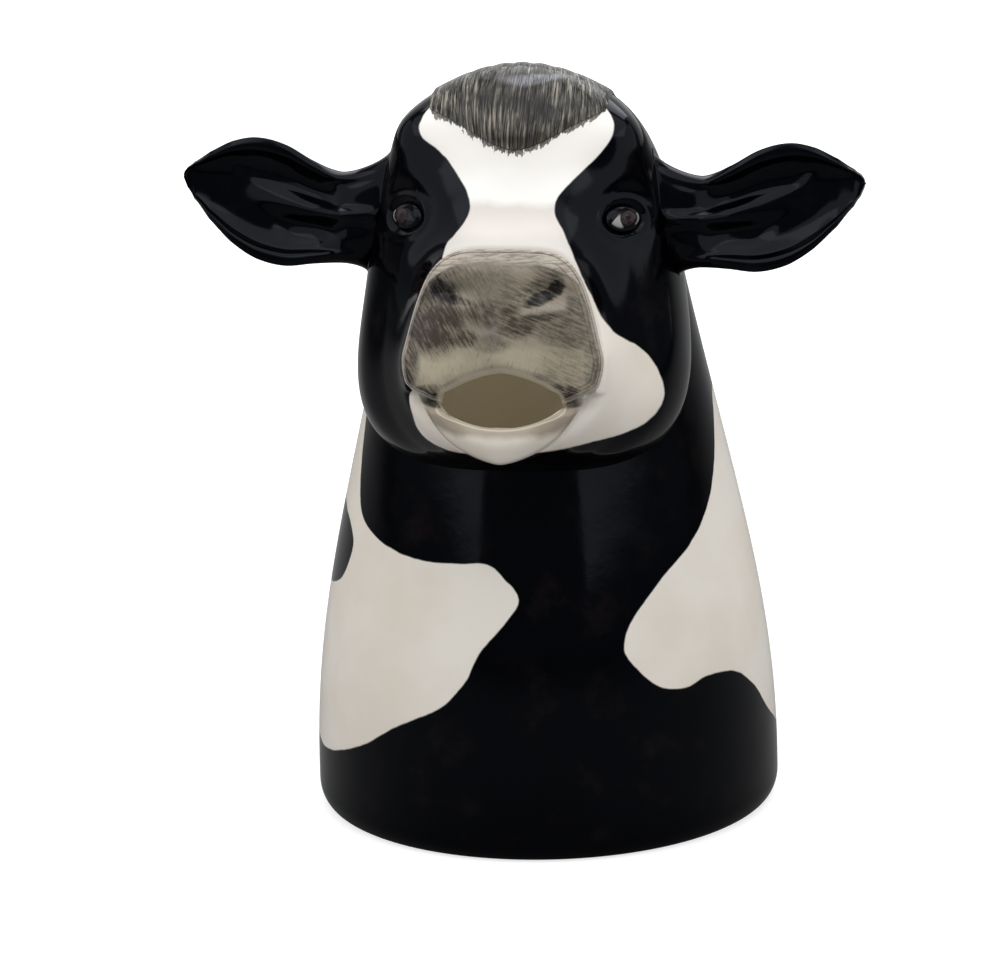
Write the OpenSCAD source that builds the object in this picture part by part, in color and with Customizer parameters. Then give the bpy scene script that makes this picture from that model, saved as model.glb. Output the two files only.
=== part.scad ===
// Cow creamer: a glazed jug in the form of a cow's head and neck, with the open mouth as its spout.
// The neck is a round vessel that stands on its foot. The head, ears, forelock, eyes and handle are
// separate clay pieces that seat on one another with a film of slip between them.
// The origin is the centre of the foot, +Z is up and the cow faces -Y.

/* [Neck] */
// Diameter of the neck near the foot
base_d = 74.6; // [68:0.2:80]
// Diameter of the neck where its curve ends
neck_top_d = 37.6; // [36:0.2:40]
// Height at which the curve of the neck ends
neck_h = 112; // [108:0.5:116]
// Rounding of the foot edge
foot_round = 2.4; // [1.5:0.1:4]
// Wall of the cast pieces
wall = 3.3; // [2.6:0.1:3.6]
// Thickness of the floor
floor_t = 4.4; // [3.5:0.1:6]

/* [Filling mouth] */
// Height of the rim at the back
rim_back = 97; // [94:0.5:99]
// Slope of the rim, rising to the front, in degrees
rim_slope = 24; // [21:0.5:27]

/* [Head] */
// Width across the cheeks
head_w = 52.6; // [51:0.2:54]
// Height of the face, square to the axis of the head
head_h = 63; // [61:0.2:65]
// Length from the back of the head to the lips, along the axis of the head
head_l = 41; // [39:0.2:43]
// Tilt of the face, looking up, in degrees
head_tilt = 16.5; // [14:0.5:18]
// Distance from the foot centre to the back of the head, along the axis of the head
head_reach = 24; // [22.5:0.1:25]
// Height of the chin line, square to the axis of the head
head_rise = 52; // [50:0.2:54]
// Distance between the eyes, measured round the face
eye_span = 38.8; // [37:0.2:43]
// Height of the eyes over the chin line
eye_rise = 39.8; // [38:0.2:43]
// Depth of the eye sockets
socket_depth = 2; // [1:0.1:2.4]
// Height of the brow lobes
brow_swell = 1.8; // [0.5:0.1:2.4]

/* [Muzzle and jaw] */
// Distance between the nostrils
nostril_span = 15.2; // [14:0.2:18]
// Height of the nostrils over the chin line
nostril_rise = 27.8; // [27:0.2:30]
// Depth of the nostrils
nostril_depth = 1.5; // [0.6:0.1:1.8]
// Width of the spout opening between the corners of the mouth
mouth_w = 19.2; // [15:0.2:21]
// How far the jaw is tucked in under the corners of the muzzle
jaw_tuck = 2; // [1:0.1:2.2]

/* [Ears] */
// Width across both ear tips
ear_span = 109; // [104:0.5:114]
// Greatest height of an ear
ear_h = 20.4; // [18:0.2:22]
// Thickness of an ear
ear_t = 3.4; // [2.8:0.1:4]
// Depth of the hollow of an ear
ear_dish = 4; // [3:0.1:5]

/* [Forelock] */
// Thickness of the forelock in the middle
forelock_t = 2.3; // [1.8:0.1:3]
// Depth of the grooves between its locks
lock_groove = 0.25; // [0.2:0.05:0.8]

/* [Eyes] */
// Width of an eye
eye_w = 5.2; // [5:0.1:7]
// Bulge of an eye
eye_bulge = 1.5; // [1:0.1:2]

/* [Handle] */
// Height of the upper root of the handle
handle_top = 86; // [82:0.5:88]
// Height of the lower root of the handle
handle_low = 33; // [28:0.5:38]
// Reach of the handle behind the foot centre
handle_reach = 60; // [57:0.5:63]
// Width of the handle
handle_w = 10; // [8:0.2:12]
// Thickness of the handle
handle_t = 7; // [6:0.2:8]

/* [Fit] */
// Film of slip between two pieces
slip_gap = 0.06; // [0.04:0.01:0.12]
// Slip under the eyes and the forelock, which lie on a curved surface
pad_gap = 0.24; // [0.2:0.02:0.3]

/* [Hidden] */
black = "#1b1917";
white = "#e9e2d6";
grey = "#8b8378";
foot_r = base_d / 2;
top_r = neck_top_d / 2;

// Cubic curve through its first and last control
function bezier(c, t) =
    pow(1 - t, 3) * c[0] + 3 * t * pow(1 - t, 2) * c[1] + 3 * t * t * (1 - t) * c[2] + pow(t, 3) * c[3];

// Curve of the neck: heights of its controls as shares of the neck's height, and the shoulder's swell
neck_rise_shares = [0.054, 0.34, 0.5, 1];
shoulder_share = 0.551;
neck_steps = 22;
neck_controls = [
    [foot_r, neck_h * neck_rise_shares[0]],
    [foot_r, neck_h * neck_rise_shares[1]],
    [top_r + (foot_r - top_r) * shoulder_share, neck_h * neck_rise_shares[2]],
    [top_r, neck_h * neck_rise_shares[3]]
];
neck_curve = [for (i = [0 : neck_steps]) bezier(neck_controls, i / neck_steps)];
neck_table = [for (p = neck_curve) [p[1], p[0]]];
function neck_r(z) = lookup(z, neck_table);

// The rim is a plane that rises from the back to the front
rim_r = neck_r(rim_back);
function rim_z(y) = rim_back + tan(rim_slope) * (rim_r - y);

// Head frame: x across, then along the axis of the head to the front, then square to it and up
function to_world(p) = [
    p[0],
    p[2] * sin(head_tilt) - p[1] * cos(head_tilt),
    p[1] * sin(head_tilt) + p[2] * cos(head_tilt)
];

// Rings of the head from the nape to the edge of the mouth. Each row holds the centre height, half
// width, height over and under the centre, squareness over and under it, narrowing to the top, and
// how far forward the ring lies at its crown, sides and chin. Heights are shares of head_h, the half
// width of head_w / 2 and the last three of head_l.
head_ring_shares = [
    [0.444, 0.84, 0.270, 0.349, 3.0, 2.8, 0.10, 0.049, 0.000, 0.146],
    [0.444, 0.94, 0.498, 0.420, 3.2, 2.9, 0.15, 0.268, 0.146, 0.317],
    [0.444, 0.975, 0.545, 0.444, 3.4, 3.1, 0.17, 0.463, 0.317, 0.463],
    [0.444, 0.920, 0.505, 0.442, 3.3, 3.0, 0.15, 0.610, 0.512, 0.610],
    [0.381, 0.753, 0.397, 0.373, 3.0, 2.6, 0.14, 0.717, 0.683, 0.732],
    [0.317, 0.646, 0.317, 0.305, 3.8, 2.0, 0.20, 0.780, 0.805, 0.829],
    [0.286, 0.608, 0.264, 0.272, 4.5, 1.5, 0.25, 0.878, 0.890, 0.927],
    [0.286, 0.593, 0.258, 0.269, 4.5, 1.5, 0.25, 0.927, 0.939, 0.959],
    [0.254, 0.505, 0.206, 0.206, 3.6, 1.6, 0.20, 0.971, 0.976, 0.990],
    [0.198, 0.425, 0.108, 0.122, 2.0, 1.6, 0.05, 0.995, 0.985, 1.000],
    [0.165, 0.365, 0.075, 0.057, 1.5, 1.5, 0.00, 0.990, 0.975, 0.995]
];
// Ring at which the face ends and the muzzle and jaw begin
face_end = 6;
ring_last = len(head_ring_shares) - 1;
head_units = [head_h, head_w / 2, head_h, head_h, 1, 1, 1, head_l, head_l, head_l];
// The muzzle narrows to the width of the mouth as its rings near the edge
mouth_step = mouth_w / 2 - head_ring_shares[ring_last][1] * head_w / 2;
function mouth_add(i) = mouth_step * pow(max(i - face_end, 0) / (ring_last - face_end), 2);
head_rings = [
    for (i = [0 : ring_last])
        let (r = head_ring_shares[i])
        [for (k = [0 : len(r) - 1]) r[k] * head_units[k] + (k == 1 ? mouth_add(i) : 0)]
];

function smooth4(a, b, c, d, f) =
    b + f / 2 * (c - a + f * (2 * a - 5 * b + 4 * c - d + f * (3 * (b - c) + d - a)));
function ring_at(t) =
    let (
        i = min(floor(max(t, 0)), ring_last - 1),
        r = [for (k = [i - 1 : i + 2]) head_rings[min(max(k, 0), ring_last)]]
    )
    smooth4(r[0], r[1], r[2], r[3], t - i);

eye_x = head_w / 2 * sin(eye_span / head_w * 180 / PI);

// Forms of the face: place across and up, size across and up, then the push outwards, forwards and up
crease_y_share = 0.165;
face_forms = [
    // eye socket
    [eye_x, eye_rise, eye_w * 0.8, eye_w * 0.63, -socket_depth * 0.5, -socket_depth * 0.8, 0],
    // brow lobe
    [head_w * 0.32, head_h * 0.841, head_w * 0.095, head_h * 0.095,
     brow_swell * 1.33, brow_swell * 1.05, brow_swell * 0.95],
    // hollow before the eye
    [eye_x * 0.627, eye_rise - eye_w * 0.92, eye_w * 0.8, eye_w * 1.04, 0, -socket_depth * 0.4, 0],
    // nostril
    [nostril_span / 2, nostril_rise, nostril_span * 0.19, nostril_span * 0.1, 0, -nostril_depth, 0],
    // wing over the nostril
    [nostril_span * 0.566, nostril_rise + nostril_span * 0.21, nostril_span * 0.263, nostril_span * 0.147,
     0, nostril_depth * 0.53, 0],
    // corner of the mouth
    [mouth_w * 0.55, head_h * crease_y_share, mouth_w * 0.135, mouth_w * 0.063, 0, -nostril_depth * 0.93, 0]
];
form_pushes = [for (f = face_forms) [f[4], f[5], f[6]]];
face_from = head_l * 0.4;
face_full = head_l * 0.7;
function ease(v) = let (c = min(max(v, 0), 1)) c * c * (3 - 2 * c);
function face_relief(x, y, along) =
    let (
        w = [for (f = face_forms) exp(-pow((abs(x) - f[0]) / f[2], 2) - pow((y - f[1]) / f[3], 2))],
        s = w * form_pushes * ease((along - face_from) / (face_full - face_from))
    )
    [s[0] * sign(x), s[1], s[2]];

// Outer surface of the head at ring t and angle a round the axis of the head
function head_point(t, a) =
    let (
        r = ring_at(t),
        over = sin(a) >= 0,
        h = over ? r[2] : r[3],
        n = over ? r[4] : r[5],
        reach = pow(pow(abs(cos(a)) / r[1], n) + pow(abs(sin(a)) / h, n), -1 / n),
        rise = reach * sin(a),
        x = reach * cos(a) * (1 - r[6] * rise / r[2]),
        y = r[0] + rise,
        along = r[8] + ((over ? r[7] : r[9]) - r[8]) * pow(sin(a), 2),
        push = face_relief(x, y, along)
    )
    to_world([x + push[0], head_reach + along + push[1], head_rise + y + push[2]]);

step_t = 0.04;
step_a = 1.5;
function head_normal(t, a) =
    let (n = cross(head_point(t, a + step_a) - head_point(t, a - step_a),
                   head_point(t + step_t, a) - head_point(t - step_t, a)))
    n / norm(n);
function head_offset(t, a, out) = head_point(t, a) + out * head_normal(t, a);

// Distance outside the neck, whose round wall and sloping rim the head sits on
function off_neck(p) = max(norm([p[0], p[1]]) - neck_r(p[2]), p[2] - rim_z(p[1])) - slip_gap;
function seat_t(a, out, low = 0, high = 5, n = 13) =
    let (mid = (low + high) / 2)
    n == 0 ? mid
    : off_neck(head_offset(mid, a, out)) > 0 ? seat_t(a, out, low, mid, n - 1)
    : seat_t(a, out, mid, high, n - 1);
// Point moved square to the neck's axis, or down, onto the seat
function onto_neck(p) =
    let (
        r = norm([p[0], p[1]]),
        k = (neck_r(p[2]) + slip_gap) / r,
        round_gap = r - neck_r(p[2]),
        rim_gap = p[2] - rim_z(p[1])
    )
    round_gap > rim_gap ? [p[0] * k, p[1] * k, p[2]] : [p[0], p[1], rim_z(p[1]) + slip_gap];

// Closed rings of points, each going round to the left as seen from the ring after it, skinned into
// a solid: a ring shape when wrap is true, and otherwise with its ends closed on a point each
module skin(rings, wrap = false, first = undef, last = undef) {
    m = len(rings);
    n = len(rings[0]);
    points = concat([for (r = rings) each r], is_undef(first) ? [] : [first, last]);
    sides = [
        for (i = [0 : m - (wrap ? 1 : 2)])
            for (j = [0 : n - 1])
                let (
                    a = i * n + j,
                    b = i * n + (j + 1) % n,
                    c = (i + 1) % m * n + (j + 1) % n,
                    d = (i + 1) % m * n + j
                )
                each [[a, c, b], [a, d, c]]
    ];
    fans = is_undef(first) ? [] : [
        for (j = [0 : n - 1])
            each [[m * n, j, (j + 1) % n], [m * n + 1, (m - 1) * n + (j + 1) % n, (m - 1) * n + j]]
    ];
    polyhedron(points, concat(sides, fans));
}

// Loops with an outer and an inner half, skinned along a row and closed by strips at both ends
module band(loops, outer_count) {
    m = len(loops);
    n = len(loops[0]);
    inner_count = n - outer_count;
    points = [for (l = loops) each l];
    sides = [
        for (i = [0 : m - 2])
            for (j = [0 : n - 1])
                let (a = i * n + j, b = i * n + (j + 1) % n)
                each [[a, b, b + n], [a, b + n, a + n]]
    ];
    // Each end is cut into triangles between its outer and inner half
    strip = concat(
        [for (k = [0 : outer_count - 2])
            [k, k + 1, n - 1 - min(floor(k * inner_count / outer_count), inner_count - 1)]],
        [for (k = [0 : inner_count - 2])
            [n - 1 - k, ceil((k + 1) * outer_count / inner_count), n - 2 - k]]
    );
    polyhedron(points, concat(
        sides,
        [for (f = strip) [f[2], f[1], f[0]]],
        [for (f = strip) [f[0] + (m - 1) * n, f[1] + (m - 1) * n, f[2] + (m - 1) * n]]
    ));
}

// The throat is cut out of the front of the neck inside the seat of the head, which it clears
throat_side_angle = 345;
throat_ledge = wall * 0.4;
throat_round_share = 0.25;
throat_depth = throat_ledge - head_offset(seat_t(throat_side_angle, -wall), throat_side_angle, -wall)[1];
throat_low = throat_ledge + head_offset(seat_t(270, -wall), 270, -wall)[2];
throat_round = head_h * throat_round_share;
module neck_vessel() {
    inner_corner = wall * 1.8;
    inner_r = neck_r(floor_t + inner_corner) - wall;
    rounding_steps = 6;
    above_corner = [for (p = neck_curve) if (p[1] > floor_t + inner_corner) p];
    profile = concat(
        [[0, 0]],
        [for (i = [0 : rounding_steps])
            let (a = 90 * i / rounding_steps)
            [foot_r - foot_round * (1 - sin(a)), neck_curve[0][1] * (1 - cos(a))]],
        [for (i = [1 : neck_steps]) neck_curve[i]],
        [for (i = [len(above_corner) - 1 : -1 : 0]) above_corner[i] - [wall, 0]],
        [for (i = [0 : rounding_steps])
            let (a = 90 * i / rounding_steps)
            [inner_r - inner_corner * (1 - cos(a)), floor_t + inner_corner * (1 - sin(a))]],
        [[0, floor_t]]
    );
    far = base_d;
    // Inside the head the rim runs level, from a little behind the corner of the head's seat
    level_y = head_point(seat_t(corner_angle(0), 0), corner_angle(0))[1] + wall / 2;
    cut = concat(
        [[far, rim_z(far)], [level_y, rim_z(level_y)], [-throat_depth, rim_z(level_y)]],
        [for (a = [0 : 15 : 90])
            [-throat_depth - throat_round * (1 - cos(a)), throat_low + throat_round * (1 - sin(a))]],
        [[-far, throat_low], [-far, neck_h + far], [far, neck_h + far]]
    );
    color(black)
    difference() {
        rotate_extrude($fn = 96) polygon(profile);
        rotate([90, 0, 90]) linear_extrude(far * 2, center = true) polygon(cut);
    }
}

head_sectors = 64;
head_steps = 15;
inner_steps = 9;
seat_steps = 3;
sector = 360 / head_sectors;

// The seat turns from the neck's wall to its rim at a corner. The sector nearest to it is turned
// until it meets the corner, and its neighbours follow less and less.
corner_at = sector * 8;
corner_fade = sector * 3;
corner_look = sector * 3;
function corner_side(p) = p[2] - rim_z(p[1]) - norm([p[0], p[1]]) + neck_r(p[2]);
function corner_angle(out, low = corner_at - corner_look, high = corner_at + corner_look, n = 12) =
    let (mid = (low + high) / 2)
    n == 0 ? mid
    : corner_side(head_offset(seat_t(mid, out), mid, out)) > 0 ? corner_angle(out, low, mid, n - 1)
    : corner_angle(out, mid, high, n - 1);
function near(a, b) = max(0, 1 - abs(a - b) / corner_fade);
function seat_angle(a, turn) = a + turn * (near(a, corner_at) - near(a, 180 - corner_at));
// Rings of one side of the shell, from its seat on the neck to the end of the face
function shell_rings(out, steps) =
    let (
        turn = corner_angle(out) - corner_at,
        angles = [for (j = [0 : head_sectors - 1]) sector * j],
        seats = [for (a = angles) seat_t(seat_angle(a, turn), out)]
    )
    [for (i = [0 : steps])
        let (f = i / steps)
        [for (j = [0 : head_sectors - 1])
            head_offset(seats[j] + (face_end - seats[j]) * f, seat_angle(angles[j], turn * (1 - f)), out)]];
module head_shell() {
    outer = shell_rings(0, head_steps);
    inside = shell_rings(-wall, inner_steps);
    inner = [for (i = [inner_steps : -1 : 0]) inside[i]];
    seat = [
        for (i = [1 : seat_steps - 1])
            [for (j = [0 : head_sectors - 1])
                onto_neck(inner[inner_steps][j] + (outer[0][j] - inner[inner_steps][j]) * i / seat_steps)]
    ];
    color(black)
    skin(concat(outer, inner, seat), wrap = true);
}

// Corner of the mouth, in sectors under the middle of the face
corner_sectors = 4;
front_steps = 12;
inside_step_shares = [1, 0.83, 0.66, 0.5, 0.36, 0];
joint_shift = to_world([0, slip_gap * 1.6, 0]);
// The wall of both pads thins by this share to the edge of the mouth
lip_share = 0.25;
// The seam keeps its angle over the first rings and then turns to the corner of the mouth
seam_from_share = 0.45;
tuck_from_angle = 20;
tuck_run_angle = 45;
function seam_turn(f) = ease((f - seam_from_share) / (1 - seam_from_share));
function front_loop(a_face, a_mouth, tuck = 0) =
    let (
        turn = a_mouth - a_face,
        run = ring_last - face_end,
        low = tuck * ease((abs(a_face - 270) - tuck_from_angle) / tuck_run_angle)
    )
    concat(
        [for (i = [0 : front_steps])
            let (f = i / front_steps, t = face_end + run * f, a = a_face + turn * seam_turn(f))
            head_offset(t, a, -low * pow(1 - f, 1.5)) + joint_shift],
        [for (f = inside_step_shares)
            let (t = face_end + run * f, a = a_face + turn * seam_turn(f))
            head_offset(t, a, -wall * (1 - lip_share * f)) + joint_shift]
    );
lip_angle = 0.8;
module muzzle() {
    count = head_sectors / 2 + 2 * corner_sectors;
    loops = [
        for (j = [0 : count])
            let (f = j / count)
            front_loop(sector * (j - corner_sectors), 180 * f)
    ];
    color(grey)
    band(loops, front_steps + 1);
}

module lower_jaw() {
    count = head_sectors / 2 - 2 * corner_sectors;
    loops = [
        for (j = [0 : count])
            let (f = j / count)
            front_loop(180 + sector * (j + corner_sectors)
                           + (j == 0 ? lip_angle : j == count ? -lip_angle : 0),
                       180 + lip_angle + (180 - 2 * lip_angle) * f, jaw_tuck)
    ];
    color(white)
    band(loops, front_steps + 1);
}

// Smooth value at place s in a table of rows that begin with their place
function row_between(rows, s, i = 0) =
    i >= len(rows) - 2 || s < rows[i + 1][0]
    ? let (
        f = (s - rows[i][0]) / (rows[i + 1][0] - rows[i][0]),
        last = len(rows) - 1
    )
    smooth4(rows[max(i - 1, 0)], rows[i], rows[i + 1], rows[min(i + 2, last)], f)
    : row_between(rows, s, i + 1);

// Sections of the ear from root to tip: place along it, upper edge and lower edge as shares of its
// height over its axis, then thickness and hollow as shares of ear_t and ear_dish
ear_section_shares = [
    [0.000, 0.200, -0.520, 2.50, 0.0],
    [0.120, 0.200, -0.515, 2.05, 0.4],
    [0.250, 0.270, -0.525, 1.50, 0.9],
    [0.420, 0.400, -0.545, 1.10, 1.0],
    [0.580, 0.455, -0.490, 1.00, 1.0],
    [0.720, 0.425, -0.365, 0.95, 0.9],
    [0.850, 0.340, -0.185, 0.85, 0.6],
    [0.940, 0.262, -0.025, 0.75, 0.3],
    [0.975, 0.225, 0.055, 0.65, 0.1],
    [0.992, 0.190, 0.115, 0.50, 0.0],
    [1.000, 0.155, 0.150, 0.30, 0.0]
];
ear_steps = 15;
ear_points = 24;
ear_rise = head_h * 0.683;
ear_forward = head_reach + head_l * 0.44;
ear_root = head_w * 0.49;
// The root stands on the side of the head, between its seat on the neck and the outer corner of the
// eye. Its place and its reach to both sides are shares of that run.
root_angle = 26;
root_turn_angle = 19;
root_place_share = 0.626;
root_reach_share = 0.197;
root_from = seat_t(root_angle, 0);
root_run = face_t(eye_x + eye_w / 2, eye_rise) - root_from;
root_ring = root_from + root_run * root_place_share;
function root_point(b, f) =
    head_offset(root_ring + root_run * root_reach_share * f * sin(b),
                root_angle + root_turn_angle * f * cos(b), slip_gap);
function ear_point(s, b) =
    let (
        r = row_between(ear_section_shares, s),
        mid = ear_h * (r[1] + r[2]) / 2,
        half = ear_h * (r[1] - r[2]) / 2,
        v = cos(b),
        thick = ear_t * r[3],
        ridge = ear_t * 0.4 * exp(-pow((v - 0.06) / 0.22, 2)) * ease((0.75 - s) / 0.45) * ease(s / 0.15),
        front = ear_dish * r[4] * (pow(abs(v), 2.4) - 0.48) + (sin(b) > 0 ? ridge : 0)
    )
    to_world([
        ear_root + (ear_span / 2 - ear_root) * s,
        ear_forward + front + thick / 2 * sign(sin(b)) * pow(abs(sin(b)), 0.8),
        head_rise + ear_rise + mid + half * v
    ]);
// The root sweeps off the head and meets the blade without a corner
ear_root_share = 0.12;
look_share = 0.01;
function ear_sweep(b, t) =
    let (
        p = root_point(b, 1),
        q = ear_point(ear_root_share, b),
        lean = (ear_point(ear_root_share + look_share, b) - q) * ear_root_share * 0.6 / look_share
    )
    bezier([p, [p[0], (p[1] + q[1]) / 2, (p[2] + q[2]) / 2], q - lean, q], t);
module ear() {
    turns = [for (j = [0 : ear_points - 1]) 360 * j / ear_points];
    root = [for (f = [0.34, 0.67, 1]) [for (b = turns) root_point(b, f)]];
    sweep = [for (t = [0.3, 0.55, 0.8]) [for (b = turns) ear_sweep(b, t)]];
    blade = [
        for (i = [0 : ear_steps - 1])
            let (s = ear_root_share + (1 - ear_root_share) * (1 - pow(1 - i / ear_steps, 1.5)))
            [for (b = turns) ear_point(s, b)]
    ];
    tip = ear_point(1, 90);
    skin(concat(root, sweep, blade), first = head_offset(root_ring, root_angle, slip_gap), last = tip);
}

module left_ear() {
    color(black) ear();
}

module right_ear() {
    color(black) mirror([1, 0, 0]) ear();
}

// The forelock lies on the poll, in front of the seat on the rim, and ends in a point on the forehead
lock_turn_angle = 28;
lock_back_share = 0.081;
lock_side_share = 0.276;
lock_tip_share = 0.348;
lock_edge_share = 0.12;
lock_columns = 26;
lock_steps = 12;
lock_under_steps = 6;
lock_count = 9;
lock_seat = seat_t(90, 0);
function lock_front(v) =
    lock_seat + ring_last * (lock_side_share + (lock_tip_share - lock_side_share) * (1 - pow(abs(v), 1.8)));
function lock_height(v, f) =
    let (
        dome = pow(max(1 - v * v, 0), 2.5) * pow(sin(180 * (0.04 + 0.93 * f)), 0.6),
        groove = lock_groove * abs(sin(180 * lock_count * (v * 0.5 + 0.5)))
    )
    forelock_t * (lock_edge_share + (1 - lock_edge_share) * dome) - (lock_groove - groove) * dome;
module forelock() {
    loops = [
        for (j = [0 : lock_columns])
            let (
                v = 2 * j / lock_columns - 1,
                a = 90 + lock_turn_angle * v,
                lock_back = seat_t(a, 0) + lock_back_share * ring_last,
                reach = lock_front(v) - lock_back
            )
            concat(
                [for (i = [0 : lock_steps])
                    let (f = i / lock_steps)
                    head_offset(lock_back + reach * f, a, pad_gap + lock_height(v, f))],
                [for (i = [lock_under_steps : -1 : 0])
                    head_offset(lock_back + reach * i / lock_under_steps, a, pad_gap)]
            )
    ];
    color(grey)
    band(loops, lock_steps + 1);
}

// Ring of the face at a place across and up on it
function ring_gap(t, x, y) =
    let (
        r = ring_at(t),
        rise = y - r[0],
        wide = x / (1 - r[6] * rise / r[2]),
        h = rise >= 0 ? r[2] : r[3],
        n = rise >= 0 ? r[4] : r[5]
    )
    pow(abs(wide) / r[1], n) + pow(abs(rise) / h, n) - 1;
function face_t(x, y, low = 2, high = 8, n = 14) =
    let (mid = (low + high) / 2)
    n == 0 ? mid
    : ring_gap(mid, x, y) < 0 ? face_t(x, y, mid, high, n - 1)
    : face_t(x, y, low, mid, n - 1);
function face_point(x, y, out) =
    let (
        t = face_t(x, y),
        r = ring_at(t),
        a = atan2(y - r[0], x / (1 - r[6] * (y - r[0]) / r[2]))
    )
    head_offset(t, a, out);
eye_h = eye_w * 0.84;
eye_points = 20;
module eye() {
    turns = [for (j = [0 : eye_points - 1]) 360 * j / eye_points];
    function ring(f, out) = [
        for (b = turns)
            face_point(eye_x + eye_w / 2 * f * cos(b), eye_rise + eye_h / 2 * f * sin(b), out)
    ];
    domes = [0.96, 0.8, 0.55, 0.28];
    skin(
        concat([ring(0.5, pad_gap), ring(1, pad_gap)],
               [for (f = domes) ring(f, pad_gap + eye_bulge * sqrt(1 - f * f))]),
        first = face_point(eye_x, eye_rise, pad_gap),
        last = face_point(eye_x, eye_rise, pad_gap + eye_bulge)
    );
}

module left_eye() {
    color(black) eye();
}

module right_eye() {
    color(black) mirror([1, 0, 0]) eye();
}

// The handle leaves the back of the neck level, bows out and comes back to it above the foot
handle_steps = 22;
handle_points = 16;
flare_share = 1.35;
fade_share = 0.12;
function handle_seat(x, z) = sqrt(pow(neck_r(z) + slip_gap, 2) - x * x);
handle_controls = [
    [handle_seat(0, handle_top), handle_top],
    [handle_reach * 1.22, handle_top + handle_w * 1.2],
    [handle_reach * 1.08, handle_low + handle_t * 0.6],
    [handle_seat(0, handle_low), handle_low]
];
function handle_size(u) = 1 + (flare_share - 1) * exp(-min(u, 1 - u) / fade_share * 2);
function handle_ring(u) =
    let (
        p = bezier(handle_controls, u),
        q = bezier(handle_controls, min(u + 0.01, 1)) - bezier(handle_controls, max(u - 0.01, 0)),
        along = q / norm(q),
        k = handle_size(u)
    )
    [for (j = [0 : handle_points - 1])
        let (b = -360 * j / handle_points, w = handle_w / 2 * k * cos(b), t = handle_t / 2 * k * sin(b))
        [w, p[0] - along[1] * t, p[1] + along[0] * t]];
function handle_foot(z, side, f) = [
    for (j = [0 : handle_points - 1])
        let (
            b = -360 * j / handle_points,
            x = handle_w / 2 * flare_share * f * cos(b),
            up = z + side * handle_t / 2 * flare_share * f * sin(b)
        )
        [x, handle_seat(x, up), up]
];
module handle() {
    color(black)
    skin(
        concat(
            [handle_foot(handle_top, 1, 0.5), handle_foot(handle_top, 1, 1)],
            [for (i = [1 : handle_steps - 1]) handle_ring(i / handle_steps)],
            [handle_foot(handle_low, -1, 1), handle_foot(handle_low, -1, 0.5)]
        ),
        first = [0, handle_seat(0, handle_top), handle_top],
        last = [0, handle_seat(0, handle_low), handle_low]
    );
}

neck_vessel();
head_shell();
muzzle();
lower_jaw();
left_ear();
right_ear();
forelock();
left_eye();
right_eye();
handle();
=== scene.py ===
import math
import bpy
import numpy as np
from mathutils import Matrix, Vector


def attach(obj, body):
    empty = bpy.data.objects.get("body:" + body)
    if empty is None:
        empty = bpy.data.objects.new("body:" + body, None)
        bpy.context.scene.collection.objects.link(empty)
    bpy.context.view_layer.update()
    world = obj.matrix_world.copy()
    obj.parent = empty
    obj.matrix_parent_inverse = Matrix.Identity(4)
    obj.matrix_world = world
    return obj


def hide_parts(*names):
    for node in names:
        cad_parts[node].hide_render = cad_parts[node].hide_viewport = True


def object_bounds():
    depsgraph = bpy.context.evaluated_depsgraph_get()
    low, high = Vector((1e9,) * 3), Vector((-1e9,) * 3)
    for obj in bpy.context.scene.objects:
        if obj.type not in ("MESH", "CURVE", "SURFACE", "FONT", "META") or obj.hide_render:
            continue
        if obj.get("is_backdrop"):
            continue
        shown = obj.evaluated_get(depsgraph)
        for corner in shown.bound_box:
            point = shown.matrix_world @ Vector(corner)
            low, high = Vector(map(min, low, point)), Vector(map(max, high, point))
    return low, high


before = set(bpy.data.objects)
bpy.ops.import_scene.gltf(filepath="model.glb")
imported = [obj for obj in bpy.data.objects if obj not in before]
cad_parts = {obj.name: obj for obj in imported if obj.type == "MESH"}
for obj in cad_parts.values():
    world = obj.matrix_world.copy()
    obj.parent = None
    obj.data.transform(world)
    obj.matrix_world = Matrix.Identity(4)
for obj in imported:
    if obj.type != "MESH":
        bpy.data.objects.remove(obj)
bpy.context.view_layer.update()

# Neck vessel. The lower body of the jug: a slip-cast cup of white clay that narrows from its foot to
# the shoulders and is open at the back, where it is filled. It is glazed black with white patches.
# All sizes below are millimetres and are turned into metres where a mesh is made.
FOOT_R = 37.3
NECK_TOP_R = 18.8
NECK_H = 112
FOOT_ROUND = 2.4
WALL = 3.3
FLOOR = 4.4
INNER_ROUND = 8.6
STRAIGHT_Z = NECK_H * 0.054
LEVEL_ROWS_Z = 62
RIM_BACK = 97
RIM_SLOPE = math.tan(math.radians(24))


def bezier(controls, t):
    """Points of a curve with four controls."""
    c, t = np.asarray(controls, float), np.asarray(t, float)[..., None]
    return (1 - t) ** 3 * c[0] + 3 * t * (1 - t) ** 2 * c[1] + 3 * t * t * (1 - t) * c[2] + t ** 3 * c[3]


def ease(v):
    """0 under 0, 1 over 1, and smooth between them."""
    v = np.clip(v, 0, 1)
    return v * v * (3 - 2 * v)


neck_line = bezier([(FOOT_R, STRAIGHT_Z), (FOOT_R, NECK_H * 0.34),
                    (NECK_TOP_R + (FOOT_R - NECK_TOP_R) * 0.551, NECK_H * 0.5),
                    (NECK_TOP_R, NECK_H)], np.linspace(0, 1, 600))


def neck_r(z):
    """Radius of the vessel at a height."""
    return np.interp(z, neck_line[:, 1], neck_line[:, 0])


RIM_R = float(neck_r(RIM_BACK))


def rim_z(y):
    """Height of the sloping rim at a depth."""
    return RIM_BACK + RIM_SLOPE * (RIM_R - y)


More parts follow.
